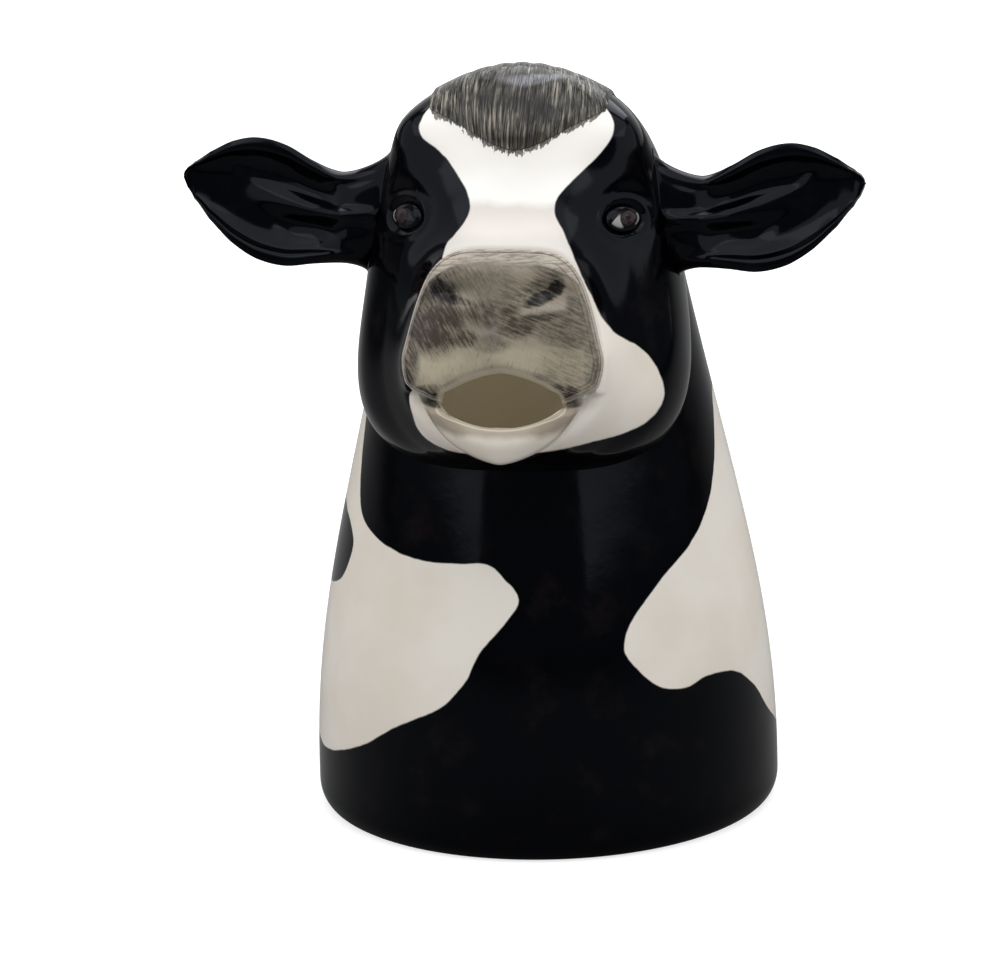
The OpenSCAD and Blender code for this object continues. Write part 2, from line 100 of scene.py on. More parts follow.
def grid_faces(rows, columns, wrap_rows=False):
    """Four-sided faces of a net whose columns close round, and its rows too when asked."""
    r = np.arange(rows if wrap_rows else rows - 1)[:, None]
    c = np.arange(columns)[None, :]
    r2, c2 = (r + 1) % rows, (c + 1) % columns
    quads = np.stack([r * columns + c, r * columns + c2, r2 * columns + c2, r2 * columns + c], -1)
    return quads.reshape(-1, 4)


CREASE = 50


def clay(name, points, faces, fields=None):
    """A mesh object: points in millimetres, faces wound outwards, and fields as point attributes."""
    mesh = bpy.data.meshes.new(name)
    flat = np.asarray(points, float).reshape(-1, 3)
    mesh.from_pydata((flat * 0.001).tolist(), [], [list(map(int, loop)) for loop in faces])
    for key, values in (fields or {}).items():
        mesh.attributes.new(key, "FLOAT", "POINT").data.foreach_set(
            "value", np.broadcast_to(values, flat.shape[0]).astype(np.float32))
    mesh.validate()
    mesh.shade_smooth()
    mesh.set_sharp_from_angle(angle=math.radians(CREASE))
    piece = bpy.data.objects.new(name, mesh)
    bpy.context.scene.collection.objects.link(piece)
    return piece


def smooth_between(a, b, c, d, f):
    """A share f of the way from b to c, on a smooth curve that also passes a and d."""
    return b + f / 2 * (c - a + f * (2 * a - 5 * b + 4 * c - d + f * (3 * (b - c) + d - a)))


def closed_curve(corners, steps=10):
    """A smooth closed outline through a few given corners."""
    corners = np.asarray(corners, float)
    four = (np.roll(corners, k, axis=0)[:, None, :] for k in (1, 0, -1, -2))
    return smooth_between(*four, np.arange(steps)[None, :, None] / steps).reshape(-1, 2)


def gap_to(points, line):
    """Distance of 2-D points from a line of straight pieces."""
    near = np.full(len(points), 1e9)
    for (ax, ay), (bx, by) in zip(line[:-1], line[1:]):
        ex, ey = bx - ax, by - ay
        wx, wy = points[:, 0] - ax, points[:, 1] - ay
        k = np.clip((wx * ex + wy * ey) / max(ex * ex + ey * ey, 1e-9), 0, 1)
        near = np.minimum(near, np.hypot(wx - k * ex, wy - k * ey))
    return near


def inside_by(points, outline):
    """Distance of 2-D points from a closed outline, positive inside it."""
    p = points.reshape(-1, 2)
    ring = np.concatenate([outline, outline[:1]])
    odd = np.zeros(len(p), bool)
    for (ax, ay), (bx, by) in zip(ring[:-1], ring[1:]):
        cross = (ay > p[:, 1]) != (by > p[:, 1])
        rise = by - ay if abs(by - ay) > 1e-9 else 1e-9
        odd ^= cross & (p[:, 0] < (bx - ax) * (p[:, 1] - ay) / rise + ax)
    return np.where(odd, 1, -1) * gap_to(p, ring)


# White patches of the neck, as degrees round from the front and millimetres up
WHITE_ON_NECK = [
    [(-71, 65), (-62, 54), (-53, 50), (-38, 48), (-27, 47.5), (-16, 47.8), (-8, 48), (-3, 46), (1, 42.8),
     (-2, 39.5), (-9, 34.5), (-13, 29.5), (-20, 24.8), (-33, 20.4), (-47, 15.2), (-66, 11.5), (-84, 13),
     (-102, 18), (-118, 28), (-124, 42), (-116, 56), (-102, 66), (-90, 75), (-79, 74)],
    [(97, 11.7), (83, 16.2), (74, 21.9), (65, 25.9), (54, 27), (46, 26.2), (38, 27.2), (32, 30.7),
     (29, 34.5), (33, 39.1), (43, 44.2), (54, 47.9), (64, 52), (73, 57), (82, 63), (92, 68), (104, 67),
     (116, 60), (126, 49), (130, 36), (124, 24), (112, 15)],
    [(168, 84), (182, 87), (197, 80), (208, 68), (205, 56), (192, 50), (176, 53), (164, 61), (160, 73)],
]
BLACK_ON_NECK = [[(-71, 50), (-61.5, 47.4), (-61, 44), (-66, 39.8), (-78, 37.4), (-90, 38), (-96, 44),
                  (-86, 51)]]


def neck_patch(p):
    """Distance into the white of the neck, in millimetres."""
    turn = np.degrees(np.arctan2(p[..., 0], -p[..., 1]))
    best = np.full(turn.shape, -99.0)
    for k, outlines in ((1, WHITE_ON_NECK), (-1, BLACK_ON_NECK)):
        for corners in outlines:
            line = closed_curve(corners)
            mid = line[:, 0].mean()
            wide = math.radians(1) * float(neck_r(line[:, 1].mean()))
            around = (turn - mid + 180) % 360 - 180
            line = np.stack([(line[:, 0] - mid) * wide, line[:, 1]], -1)
            d = inside_by(np.stack([around * wide, p[..., 2]], -1), line).reshape(turn.shape)
            best = np.maximum(best, d) if k == 1 else np.minimum(best, -d)
    return best


THROAT_Y, THROAT_Z, THROAT_ROUND = -12.5, 67.3, 15.75
LEVEL_Y = -4.0


def neck_top(y):
    """Height of the vessel's edge: the sloping rim at the back, and the throat inside the head."""
    deep = np.clip((THROAT_Y - y) / THROAT_ROUND, 0, 1)
    low = THROAT_Z + THROAT_ROUND * (1 - np.sqrt(1 - (1 - deep) ** 2))
    return np.where(y > LEVEL_Y, rim_z(y), np.where(y > THROAT_Y, rim_z(LEVEL_Y), low))


def wall_top(turn, inset):
    """Where the wall meets the vessel's edge at an angle round the axis."""
    low, high = np.full(turn.shape, 40.0), np.full(turn.shape, float(NECK_H))
    for _ in range(40):
        mid = (low + high) / 2
        over = mid > neck_top((neck_r(mid) - inset) * np.sin(turn))
        low, high = np.where(over, low, mid), np.where(over, mid, high)
    return (low + high) / 2


def wall_rows(count, bottom, top, first=0.0):
    """Heights up the wall. Rows are level up to LEVEL_ROWS_Z, so that the coat's edges stay smooth."""
    for f in np.linspace(first, 1, count):
        yield np.where(f < LEVEL_SHARE, bottom + (LEVEL_ROWS_Z - bottom) * f / LEVEL_SHARE,
                       LEVEL_ROWS_Z + (top - LEVEL_ROWS_Z) * (f - LEVEL_SHARE) / (1 - LEVEL_SHARE))


NECK_TURNS, OUTER_ROWS, INNER_ROWS, LIP_ROWS, LEVEL_SHARE = 320, 110, 70, 7, 0.66
LIP_H, LIP_R = 1.5, 24
ALL_WHITE = 20
ROUND_Z = STRAIGHT_Z * 0.62
INNER_Z = FLOOR + INNER_ROUND
# At each angle a profile runs from the middle of the foot up the outside, over the lip, down the inside
# and to the middle of the floor
turn = np.linspace(0, 2 * math.pi, NECK_TURNS, endpoint=False)
lip = LIP_H * ease((np.sin(turn) * LIP_R - LEVEL_Y + 1) / 6)
out_top, in_top = wall_top(turn, 0), wall_top(turn, WALL)
rows = [(0.0, 0.0)]
rows += [(FOOT_R - FOOT_ROUND * 2.6 * (1 - f), 0.0) for f in (0.15, 0.6)]
rows += [(FOOT_R - FOOT_ROUND * (1 - math.sin(a)), ROUND_Z * (1 - math.cos(a)))
         for a in np.linspace(0, math.pi / 2, 12)]
foot = [np.stack([np.full(NECK_TURNS, r), np.full(NECK_TURNS, z)], -1) for r, z in rows]
body = [np.stack([np.where(z < STRAIGHT_Z, FOOT_R, neck_r(z)), z], -1)
        for z in wall_rows(OUTER_ROWS, ROUND_Z, out_top - lip, 0.02)]
for a in np.linspace(0.12, 0.88, LIP_ROWS) * math.pi:
    mix = (1 - math.cos(a)) / 2
    z = (out_top - lip) * (1 - mix) + (in_top - lip) * mix
    body.append(np.stack([neck_r(z) - WALL * mix, z + lip * math.sin(a)], -1))
body += [np.stack([neck_r(z) - WALL, z], -1)
         for z in reversed(list(wall_rows(INNER_ROWS, INNER_Z, in_top - lip)))]
for a in np.linspace(0.1, 1, 10) * math.pi / 2:
    inner_r = neck_r(INNER_Z) - WALL - INNER_ROUND * (1 - math.cos(a))
    body.append(np.tile([inner_r, INNER_Z - INNER_ROUND * math.sin(a)], (NECK_TURNS, 1)))
body.append(np.tile([0.0, FLOOR], (NECK_TURNS, 1)))
profile = np.array(foot + body)
points = np.stack([profile[..., 0] * np.cos(turn), profile[..., 0] * np.sin(turn), profile[..., 1]], -1)
inner_rows = np.zeros(points.shape[:2])
inner_rows[len(foot) + OUTER_ROWS + LIP_ROWS // 2 + 1:] = 1
faces = grid_faces(len(profile), NECK_TURNS)
patch = np.where(inner_rows > 0, ALL_WHITE, neck_patch(points))
neck = clay("vessel_body", points, faces, {"patch": patch.ravel(), "inside": inner_rows.ravel()})


class Wire:
    """A node's output. Sums and products of wires add Math nodes."""

    def __init__(self, tree, socket):
        self.tree, self.socket = tree, socket

    @classmethod
    def node(cls, tree, kind, settings=None, output=0, **sockets):
        """Any node: its settings first, then its sockets by name, or by number as i0, i1 and so on."""
        made = tree.nodes.new("ShaderNode" + kind)
        for key, value in (settings or {}).items():
            setattr(made, key, value)
        for key, value in sockets.items():
            into = made.inputs[int(key[1:])] if key[0] == "i" and key[1:].isdigit() else \
                made.inputs[key.replace("_", " ")]
            if isinstance(value, Wire):
                tree.links.new(value.socket, into)
            else:
                into.default_value = value
        return cls(tree, made.outputs[output])

    def make(self, kind, settings=None, output=0, **sockets):
        return Wire.node(self.tree, kind, settings, output, **sockets)

    def reckon(self, operation, first, second):
        return self.make("Math", {"operation": operation}, i0=first, i1=second)

    def __add__(self, other): return self.reckon("ADD", self, other)
    def __radd__(self, other): return self.reckon("ADD", other, self)
    def __sub__(self, other): return self.reckon("SUBTRACT", self, other)
    def __rsub__(self, other): return self.reckon("SUBTRACT", other, self)
    def __mul__(self, other): return self.reckon("MULTIPLY", self, other)
    def __rmul__(self, other): return self.reckon("MULTIPLY", other, self)
    def __truediv__(self, other): return self.reckon("DIVIDE", self, other)
    def __pow__(self, other): return self.reckon("POWER", self, other)
    def most(self, other): return self.reckon("MAXIMUM", self, other)

    def step(self, low, high):
        """0 under low, 1 over high, and smooth between them."""
        return self.make("MapRange", {"interpolation_type": "SMOOTHSTEP"},
                         Value=self, From_Min=low, From_Max=high)

    def mix(self, first, second):
        """The first colour where this is 0 and the second where it is 1."""
        return self.make("Mix", {"data_type": "RGBA"}, output=2, i0=self, i6=first, i7=second)


def glaze(name):
    """A glazed clay: the material, its tree, its shader and the place on the piece in metres."""
    material = bpy.data.materials.new(name)
    material.use_nodes = True
    tree = material.node_tree
    shader = tree.nodes["Principled BSDF"]
    shader.inputs["Specular IOR Level"].default_value = 0.12
    shader.inputs["Specular Tint"].default_value = (0.8, 0.88, 1.0, 1)
    return material, tree, shader, Wire.node(tree, "TexCoord", output=3)


def colour(r, g, b):
    """A colour written as a screen shows it, from 0 to 255."""
    light = [((c / 255 + 0.055) / 1.055) ** 2.4 if c > 10 else c / 255 / 12.92 for c in (r, g, b)]
    return (*light, 1)


def field(tree, name):
    """A value laid on the mesh's points."""
    return Wire.node(tree, "Attribute", {"attribute_name": name}, output=2)


def noise(place, scale, detail=2.0, rough=0.5, **more):
    """Cloudy noise at a place, around 0.5."""
    return place.make("TexNoise", Vector=place, Scale=scale, Detail=detail, Roughness=rough, **more)


def finish_glaze(shader, place, tone, relief=None):
    """Lays the colour, the uneven gloss, and the slow waves and small pits of a poured glaze."""
    height = noise(place, 90, 1.0) * 0.00012 + noise(place, 900, 2.0) * 0.000006
    if relief is not None:
        height = height + relief
    rough = noise(place, 220, 3.0).step(0.3, 0.9) * 0.06 + 0.1
    for wire, into in ((tone, "Base Color"), (rough, "Roughness"),
                       (place.make("Bump", Height=height, Distance=1.0, Strength=1.0), "Normal")):
        wire.tree.links.new(wire.socket, shader.inputs[into])


# Creams and milk white of the patches, the black and its brown wear, and the cream glaze inside
CREAM = colour(242, 235, 224)
CREAM_WARM = colour(235, 225, 211)
MILK = colour(233, 229, 223)
BLACK = colour(1, 1, 3)
BLACK_WORN = colour(20, 13, 12)
INSIDE = colour(252, 243, 223)

coat_glaze, tree, shader, place = glaze("coat_glaze")
# The patches have a soft edge. On the face their cream holds painted light and shade by height:
# painted shade beside the nose and round the eyes, a band of painted highlight just above them, and a
# milk white on top, dimmed as painted shade
wobble = (noise(place, 260, 3.0) - 0.5) * 0.5
edge = field(tree, "patch") + wobble
white = edge.step(-0.14, 0.14)
cream = noise(place, 60, 3.0).step(0.35, 0.7).mix(CREAM, CREAM_WARM)
ink = noise(place, 140, 4.0, 0.6).step(0.5, 0.85).mix(BLACK, BLACK_WORN)
# Bands of painted shade and painted highlight up the face, with ragged edges
up = field(tree, "up") + (noise(place, 120, 3.0) - 0.5) * 3.2
for low, high, paint in ((28, 34, colour(207, 202, 196)), (35.5, 38.5, colour(220, 213, 206)),
                         (40.8, 42.8, colour(249, 247, 242)), (43.6, 49, MILK)):
    cream = up.step(low, high).mix(cream, paint)
tone = white.mix(ink, cream)
tone = field(tree, "inside").mix(tone, INSIDE)
# Painted ends of the forelock, where the brush ran past its edge
fringe, strand = field(tree, "fringe"), field(tree, "strand")
ends = noise(place.make("CombineXYZ", X=strand, Y=fringe * 0.25, Z=0.0), 2.0, 3.0, 0.6)
hair = (fringe * 0.7 + (ends - 0.5) * 3.2).step(0.42, 0.62) * fringe.step(0.02, 0.1)
tone = (hair * 0.92).mix(tone, ends.step(0.5, 0.62).mix(colour(46, 43, 40), colour(112, 104, 92)))
finish_glaze(shader, place, tone, white * 0.00004)
neck.data.materials.append(coat_glaze)
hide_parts("neck_vessel")
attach(neck, "root")


# Head. A separate hollow casting, luted on the vessel with slip: it seats round the front of the wall
# and over the rim, with an open nape that leaves the filling mouth free. Black with a white blaze.
HEAD_W, HEAD_H, HEAD_L = 52.6, 63.0, 41.0
TILT = math.radians(16.5)
HEAD_REACH, HEAD_RISE = 24.0, 52.0
EYE_X, EYE_Y, EYE_W = 17.69, 39.8, 5.2
SLIP = 0.06
FACE_END = 6
# Rings from the nape to the mouth, as shares of the head's sizes: centre height, half width, height
# over and under it, squareness over and under, narrowing to the top, and how far forward the crown,
# the sides and the chin lie
RINGS = np.array([
    [0.444, 0.84, 0.270, 0.349, 3.0, 2.8, 0.10, 0.049, 0.000, 0.146],
    [0.444, 0.94, 0.498, 0.420, 3.2, 2.9, 0.15, 0.268, 0.146, 0.317],
    [0.444, 0.975, 0.545, 0.444, 3.4, 3.1, 0.17, 0.463, 0.317, 0.463],
    [0.444, 0.920, 0.505, 0.442, 3.3, 3.0, 0.15, 0.610, 0.512, 0.610],
    [0.381, 0.753, 0.397, 0.373, 3.0, 2.6, 0.14, 0.717, 0.683, 0.732],
    [0.317, 0.646, 0.317, 0.305, 3.8, 2.0, 0.20, 0.780, 0.805, 0.829],
    [0.286, 0.608, 0.264, 0.272, 4.5, 1.5, 0.25, 0.878, 0.890, 0.927],
    [0.286, 0.593, 0.258, 0.269, 4.5, 1.5, 0.25, 0.927, 0.939, 0.959],
    [0.254, 0.505, 0.206, 0.206, 3.6, 1.6, 0.20, 0.971, 0.976, 0.990],
    [0.198, 0.425, 0.108, 0.122, 2.0, 1.6, 0.05, 0.995, 0.985, 1.000],
    [0.165, 0.365, 0.075, 0.057, 1.5, 1.5, 0.00, 0.990, 0.975, 0.995],
]) * [HEAD_H, HEAD_W / 2, HEAD_H, HEAD_H, 1, 1, 1, HEAD_L, HEAD_L, HEAD_L]
LAST = len(RINGS) - 1
# Forms of the face: sockets, brows, sides of the nose, nostrils, their upper edges and the corners of
# the mouth. Place across and up, size across and up, then the push outwards, forwards and up
FORMS = np.array([
    [EYE_X, EYE_Y, 4.2, 3.3, -1.0, -1.6, 0],
    [16.8, 53.0, 5.0, 6.0, 2.4, 1.9, 1.7],
    [11.1, 35.0, 4.2, 5.4, 0, -0.8, 0],
    [7.6, 27.8, 2.9, 1.5, 0, -1.5, 0],
    [8.6, 31.0, 4.0, 2.24, 0, 0.8, 0],
    [10.6, 10.4, 2.6, 1.2, 0, -1.4, 0],
])


def to_world(x, along, up):
    """From the tilted head's own directions to the jug's."""
    return np.stack([x, up * math.sin(TILT) - along * math.cos(TILT),
                     along * math.sin(TILT) + up * math.cos(TILT)], -1)


def up_face(p):
    """Height of a point on the face, square to the head's axis."""
    return p[..., 2] * math.cos(TILT) + p[..., 1] * math.sin(TILT) - HEAD_RISE


def between_rows(table, i, f):
    """Values of a table a share f past row i, one array to a column."""
    four = (table[np.clip(i + k, 0, len(table) - 1)] for k in (-1, 0, 1, 2))
    return np.moveaxis(smooth_between(*four, f[..., None]), -1, 0)


def ring_at(t):
    """The columns of RINGS at a ring that need not be whole."""
    i = np.minimum(np.floor(np.maximum(t, 0)).astype(int), LAST - 1)
    return between_rows(RINGS, i, t - i)


def on_face(t, angle):
    """Place across, up and along the head of a point on ring t at an angle in degrees round its axis."""
    t, angle = np.broadcast_arrays(np.asarray(t, float), np.radians(angle))
    mid, half, over, under, sq_over, sq_under, narrow, crown, side, chin = ring_at(t)
    c, s = np.cos(angle), np.sin(angle)
    up = s >= 0
    h, n = np.where(up, over, under), np.where(up, sq_over, sq_under)
    reach = ((np.abs(c) / half) ** n + (np.abs(s) / h) ** n) ** (-1 / n)
    rise = reach * s
    across = reach * c * (1 - narrow * rise / over)
    return across, mid + rise, side + (np.where(up, crown, chin) - side) * s * s


def head_at(t, angle):
    """A point of the head's surface, with brow, sockets, lids, nostrils and corners of the mouth."""
    x, y, along = on_face(t, angle)
    w = ease((along - HEAD_L * 0.4) / (HEAD_L * 0.3))[..., None]
    push = np.zeros(x.shape + (3,))
    for form in FORMS:
        bell = np.exp(-((np.abs(x) - form[0]) / form[2]) ** 2 - ((y - form[1]) / form[3]) ** 2)
        push += bell[..., None] * form[4:] * w
    out = np.hypot((np.abs(x) - EYE_X) / 2.7, (y - EYE_Y) / 2.4)
    lid = 0.4 * np.exp(-((out - 1.25) / 0.22) ** 2)
    lid -= 0.12 * np.exp(-((out - 1.9) / 0.35) ** 2) * ease((y - EYE_Y + 1) / 3)
    lid += 0.07 * np.exp(-((out - 2.6) / 0.7) ** 2) * ease((y - EYE_Y) / 4)
    push += (lid * w[..., 0])[..., None] * [0.45, 0.85, 0.1]
    return to_world(x + push[..., 0] * np.sign(x), HEAD_REACH + along + push[..., 1],
                    HEAD_RISE + y + push[..., 2])


def head_out(t, angle, out):
    """A point off the head's surface, out millimetres square to it."""
    n = np.cross(head_at(t, angle + 1.5) - head_at(t, angle - 1.5),
                 head_at(t + 0.04, angle) - head_at(t - 0.04, angle))
    n /= np.linalg.norm(n, axis=-1, keepdims=True)
    return head_at(t, angle) + np.asarray(out)[..., None] * n


def off_neck(p):
    """Clearance of a point from the vessel."""
    from_wall = np.hypot(p[..., 0], p[..., 1]) - neck_r(p[..., 2])
    return np.maximum(from_wall, p[..., 2] - rim_z(p[..., 1])) - SLIP


def seat_ring(angle, out):
    """Ring at which the head meets the vessel, at an angle round the head."""
    low, high = np.zeros(angle.shape), np.full(angle.shape, 5.0)
    for _ in range(22):
        mid = (low + high) / 2
        clear = off_neck(head_out(mid, angle, out)) > 0
        low, high = np.where(clear, low, mid), np.where(clear, mid, high)
    return (low + high) / 2


# White of the head, as places across and up the face in millimetres
BLAZE = [(-13.8, 57.4), (-15.2, 54.9), (-15.3, 53.2), (-14.5, 51.9), (-12.5, 50.5), (-10.3, 48.4),
         (-8.6, 46.0), (-7.3, 44.0), (-6.6, 42.2), (-6.5, 40.8), (-7.2, 38.9), (-8.6, 36.9),
         (-10.0, 34.6), (-10, 28), (-10, 20), (-12, 14), (-14.9, 11.8), (-14.6, 8.6), (-13.5, 5.8),
         (-11.0, 3.9), (-6.5, 2.6), (1.4, 2.6), (6.0, 2.9), (9.0, 3.5), (13.0, 4.6), (17.0, 5.8),
         (20.0, 7.2), (21.9, 8.8), (23.3, 10.9), (23.7, 13.2), (23.0, 16.0), (21.7, 18.2), (20.1, 19.8),
         (18.5, 20.8), (16.8, 21.9), (15.4, 23.8), (14.2, 26.0), (12.9, 28.8), (11.4, 31.8),
         (10.0, 34.6), (8.6, 37.3), (7.3, 39.6), (6.9, 41.3), (7.2, 42.8), (8.3, 44.4), (10.4, 46.6),
         (12.6, 49.0), (14.4, 51.1), (15.3, 52.8), (15.5, 54.3), (15.0, 55.9), (13.8, 57.5), (10, 62),
         (0, 64), (-9, 62)]


def face_patch(p, along):
    """Distance into the white of the head. It keeps to the front of the face and the chin."""
    flat = inside_by(np.stack([p[..., 0], up_face(p)], -1), closed_curve(BLAZE)).reshape(along.shape)
    return np.minimum(flat, (along - 13) * 0.8)


def to_corners(angle):
    """0 under the chin and 1 towards the corners of the mouth."""
    return ease((np.abs(angle - 270) - 20) / 45)


HEAD_TURNS, HEAD_STEPS, INNER_STEPS, CORNER = 288, 150, 40, 22.5
LOCK_TURN, LOCK_FRONT, LOCK_POINT, LOCK_CURVE, LOCK_STRANDS, LOCK_FAN = 28, 3.15, 0.72, 1.8, 14, 0.3
turns = np.linspace(0, 360, HEAD_TURNS, endpoint=False)
out_seat, in_seat = seat_ring(turns, 0.0), seat_ring(turns, -WALL)
f = np.linspace(0, 1, HEAD_STEPS + 1)[:, None]
t_out = out_seat + (FACE_END - out_seat) * f
jaw_side = to_corners(turns) * ease((90 - CORNER - np.abs(turns - 270)) / 5)
to_end = FACE_END - t_out
edge_roll = -0.55 * np.exp(-(to_end / 0.12) ** 2) - 1.6 * jaw_side * np.exp(-(to_end / 0.4) ** 2)
outer = head_out(t_out, turns[None, :] + 0 * f, edge_roll)
f = np.linspace(1, 0, INNER_STEPS + 1)[:, None]
inner = head_out(in_seat + (FACE_END - in_seat) * f, turns[None, :] + 0 * f, -WALL)
points = np.concatenate([outer, inner])
along = on_face(t_out, turns[None, :] + 0 * t_out)[2]
patch = np.concatenate([face_patch(outer, along), np.full(inner.shape[:2], ALL_WHITE)])
inside = np.concatenate([np.zeros(outer.shape[:2]), np.ones(inner.shape[:2])])
# The fringe is full as far as the forelock will reach, and fades over FRINGE millimetres past its edge
FRINGE = 1.5
v = (turns - 90) / LOCK_TURN
run = np.cumsum(np.linalg.norm(np.diff(outer, axis=0, prepend=outer[:1]), axis=-1), axis=0)
lock_end = LOCK_FRONT + LOCK_POINT * (1 - np.minimum(np.abs(v), 1) ** LOCK_CURVE)
past = np.array([run[:, k] - np.interp(lock_end[k], t_out[:, k], run[:, k])
                 for k in range(HEAD_TURNS)]).T
fringe = np.where(np.abs(v) < 1.02, np.clip(FRINGE - past, 0, FRINGE), 0)
strand = LOCK_STRANDS * (1 - LOCK_FAN) * v + 0 * past
blank = np.zeros(inner.shape[:2])
faces = grid_faces(len(points), HEAD_TURNS, wrap_rows=True)
head = clay("head", points, faces,
            {"patch": patch.ravel(), "inside": inside.ravel(),
             "fringe": np.concatenate([fringe, blank]).ravel(),
             "strand": np.concatenate([strand, blank]).ravel(),
             "up": np.concatenate([up_face(outer), blank]).ravel()})
head.data.materials.append(coat_glaze)
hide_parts("head_shell")
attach(head, "root")


# Muzzle and lower jaw. Two thick clay pads that close the front of the head and leave the mouth open
# between them as the spout. The muzzle is brushed grey and brown; the jaw is left white.
MUZZLE_COLUMNS, JAW_COLUMNS, FRONT_STEPS, TUCK = 150, 90, 90, 2.0
LIP_SHARE, LIP_ROLL = 0.86, 1.1
JOINT_SHIFT = to_world(0, SLIP * 1.6, 0)


def front_pad(face_angles, mouth_angles, sunk=0.0):
    """Columns from the end of the face to the mouth, over the lip and back along the inside."""
    def path(f):
        """Ring, angle and roll of the lip at a share f of the way."""
        turned = ease((f - 0.45) / 0.55)
        angle = face_angles[:, None] * (1 - turned) + mouth_angles[:, None] * turned
        t = FACE_END + (LAST - FACE_END) * f
        return t, angle, np.maximum((f - LIP_SHARE) / (1 - LIP_SHARE), 0) ** 2 * LIP_ROLL

    low = sunk * to_corners(face_angles)[:, None]
    f = np.linspace(0, 1, FRONT_STEPS + 1)
    t, angle, lip = path(f)
    sides = np.minimum(np.arange(len(face_angles)), np.arange(len(face_angles))[::-1])[:, None]
    roll = 0.6 * np.exp(-((t - FACE_END) / 0.28) ** 2) + 0.5 * np.exp(-(sides / 1.8) ** 2)
    outer = head_out(t[None, :] + 0 * angle, angle, -np.maximum(lip, roll) - low * (1 - f) ** 1.5)
    f = np.concatenate([np.linspace(1, LIP_SHARE, 8), np.linspace(0.8, 0, 24)])
    t, angle, lip = path(f)
    inner = head_out(t[None, :] + 0 * angle, angle, -WALL * (1 - 0.25 * f) + lip)
    return np.concatenate([outer, inner], 1) + JOINT_SHIFT


def pad_faces(columns, rows, outer_rows):
    """The skin of a pad, with strips between its outer and inner side along both of its edges."""
    ring = grid_faces(columns, rows)
    strips = []
    inner_rows = rows - outer_rows
    for start, side in ((0, 1), ((columns - 1) * rows, -1)):
        for k in range(outer_rows - 1):
            q = rows - 1 - min(k * inner_rows // outer_rows, inner_rows - 1)
            q2 = rows - 1 - min((k + 1) * inner_rows // outer_rows, inner_rows - 1)
            loop = [start + k, start + k + 1, start + q2] + ([start + q] if q2 != q else [])
            strips.append(loop if side < 0 else loop[::-1])
    return ring[:, ::-1].tolist() + strips


EDGE = FRONT_STEPS + 1
FAR_FROM_SEAM = 9


def seen_edges(points):
    """Height on the face, and distance from a pad's outer edge and from its lip, as seen in front."""
    up = up_face(points)
    flat = np.stack([points[..., 0], up], -1)
    start, end = 12, EDGE - 3
    border = np.concatenate([flat[0, end - 6:start:-4], flat[:, start], flat[-1, start:end - 6:4]])
    seam = gap_to(flat.reshape(-1, 2), border).reshape(up.shape)
    lip = gap_to(flat.reshape(-1, 2), flat[:, end]).reshape(up.shape)
    seam[:, :start] = 0
    lip[:, end:] = 0
    return up, seam, lip


def pad(name, points):
    """A pad as a piece, with the fields that its paint is laid by."""
    columns, rows = points.shape[:2]
    inside = np.tile((np.arange(rows) > EDGE + 2).astype(float), (columns, 1))
    up, seam, lip = seen_edges(points)
    return clay(name, points, pad_faces(columns, rows, EDGE),
                {"inside": inside.ravel(), "seam": np.where(inside > 0, FAR_FROM_SEAM, seam).ravel(),
                 "lip": lip.ravel(), "across": points[..., 0].ravel(), "up": up.ravel()})


columns = np.linspace(0, 1, MUZZLE_COLUMNS)
muzzle = pad("muzzle_pad", front_pad(-CORNER + (180 + 2 * CORNER) * columns, 180 * columns))

BEIGE, FAWN = colour(168, 159, 138), colour(138, 129, 114)
ASH, SOOT = colour(70, 63, 56), colour(30, 27, 26)
muzzle_glaze, tree, shader, place = glaze("muzzle_glaze")
across, up = field(tree, "across"), field(tree, "up")


def smudges(*ovals):
    """Soft ovals of paint on the face: place across and up, size, turn in degrees, and strength."""
    whole = 0.0
    for x, y, wide, high, turn, strength in ovals:
        c, s = math.cos(math.radians(turn)), math.sin(math.radians(turn))
        dx, dy = across - x, up - y
        a, b = (dx * c + dy * s) / wide, (dy * c - dx * s) / high
        whole = ((1 - (a * a + b * b).step(0.25, 1.6)) * strength).most(whole)
    return whole


def strokes(turn, scale, stretch, low, high):
    """Brush marks that run at an angle in degrees across the face."""
    c, s = math.cos(math.radians(turn)), math.sin(math.radians(turn))
    along_way = (across * c + up * s) / stretch
    over_way = up * c - across * s
    flat = place.make("CombineXYZ", X=along_way, Y=over_way, Z=0.0)
    return noise(flat, scale, 4.0, 0.65).step(low, high)


left_side = (across / -16).step(-0.15, 0.3)
brush = strokes(-58, 2.6, 7, 0.4, 0.62) * left_side + strokes(-22, 2.6, 7, 0.4, 0.62) * (1 - left_side)
blot = noise(place, 360, 6.0, 0.68).step(0.34, 0.66)
cloud = noise(place, 170, 3.0, 0.6).step(0.35, 0.65)
tone = (cloud * 0.55 + brush * 0.25).mix(BEIGE, FAWN)
pale = smudges((-9.5, 16.8, 4.2, 2.6, 10, 0.7), (4, 17.2, 6, 2.0, -6, 0.55))
tone = pale.mix(tone, colour(178, 169, 146))
upper = (up - (cloud - 0.5) * 3).step(17.5, 22.5)
tone = (upper * (0.6 + brush * 0.25)).mix(tone, colour(124, 115, 102))
tone = smudges((-1.5, 22.4, 1.5, 3.4, 0, 0.4)).mix(tone, colour(128, 119, 119))
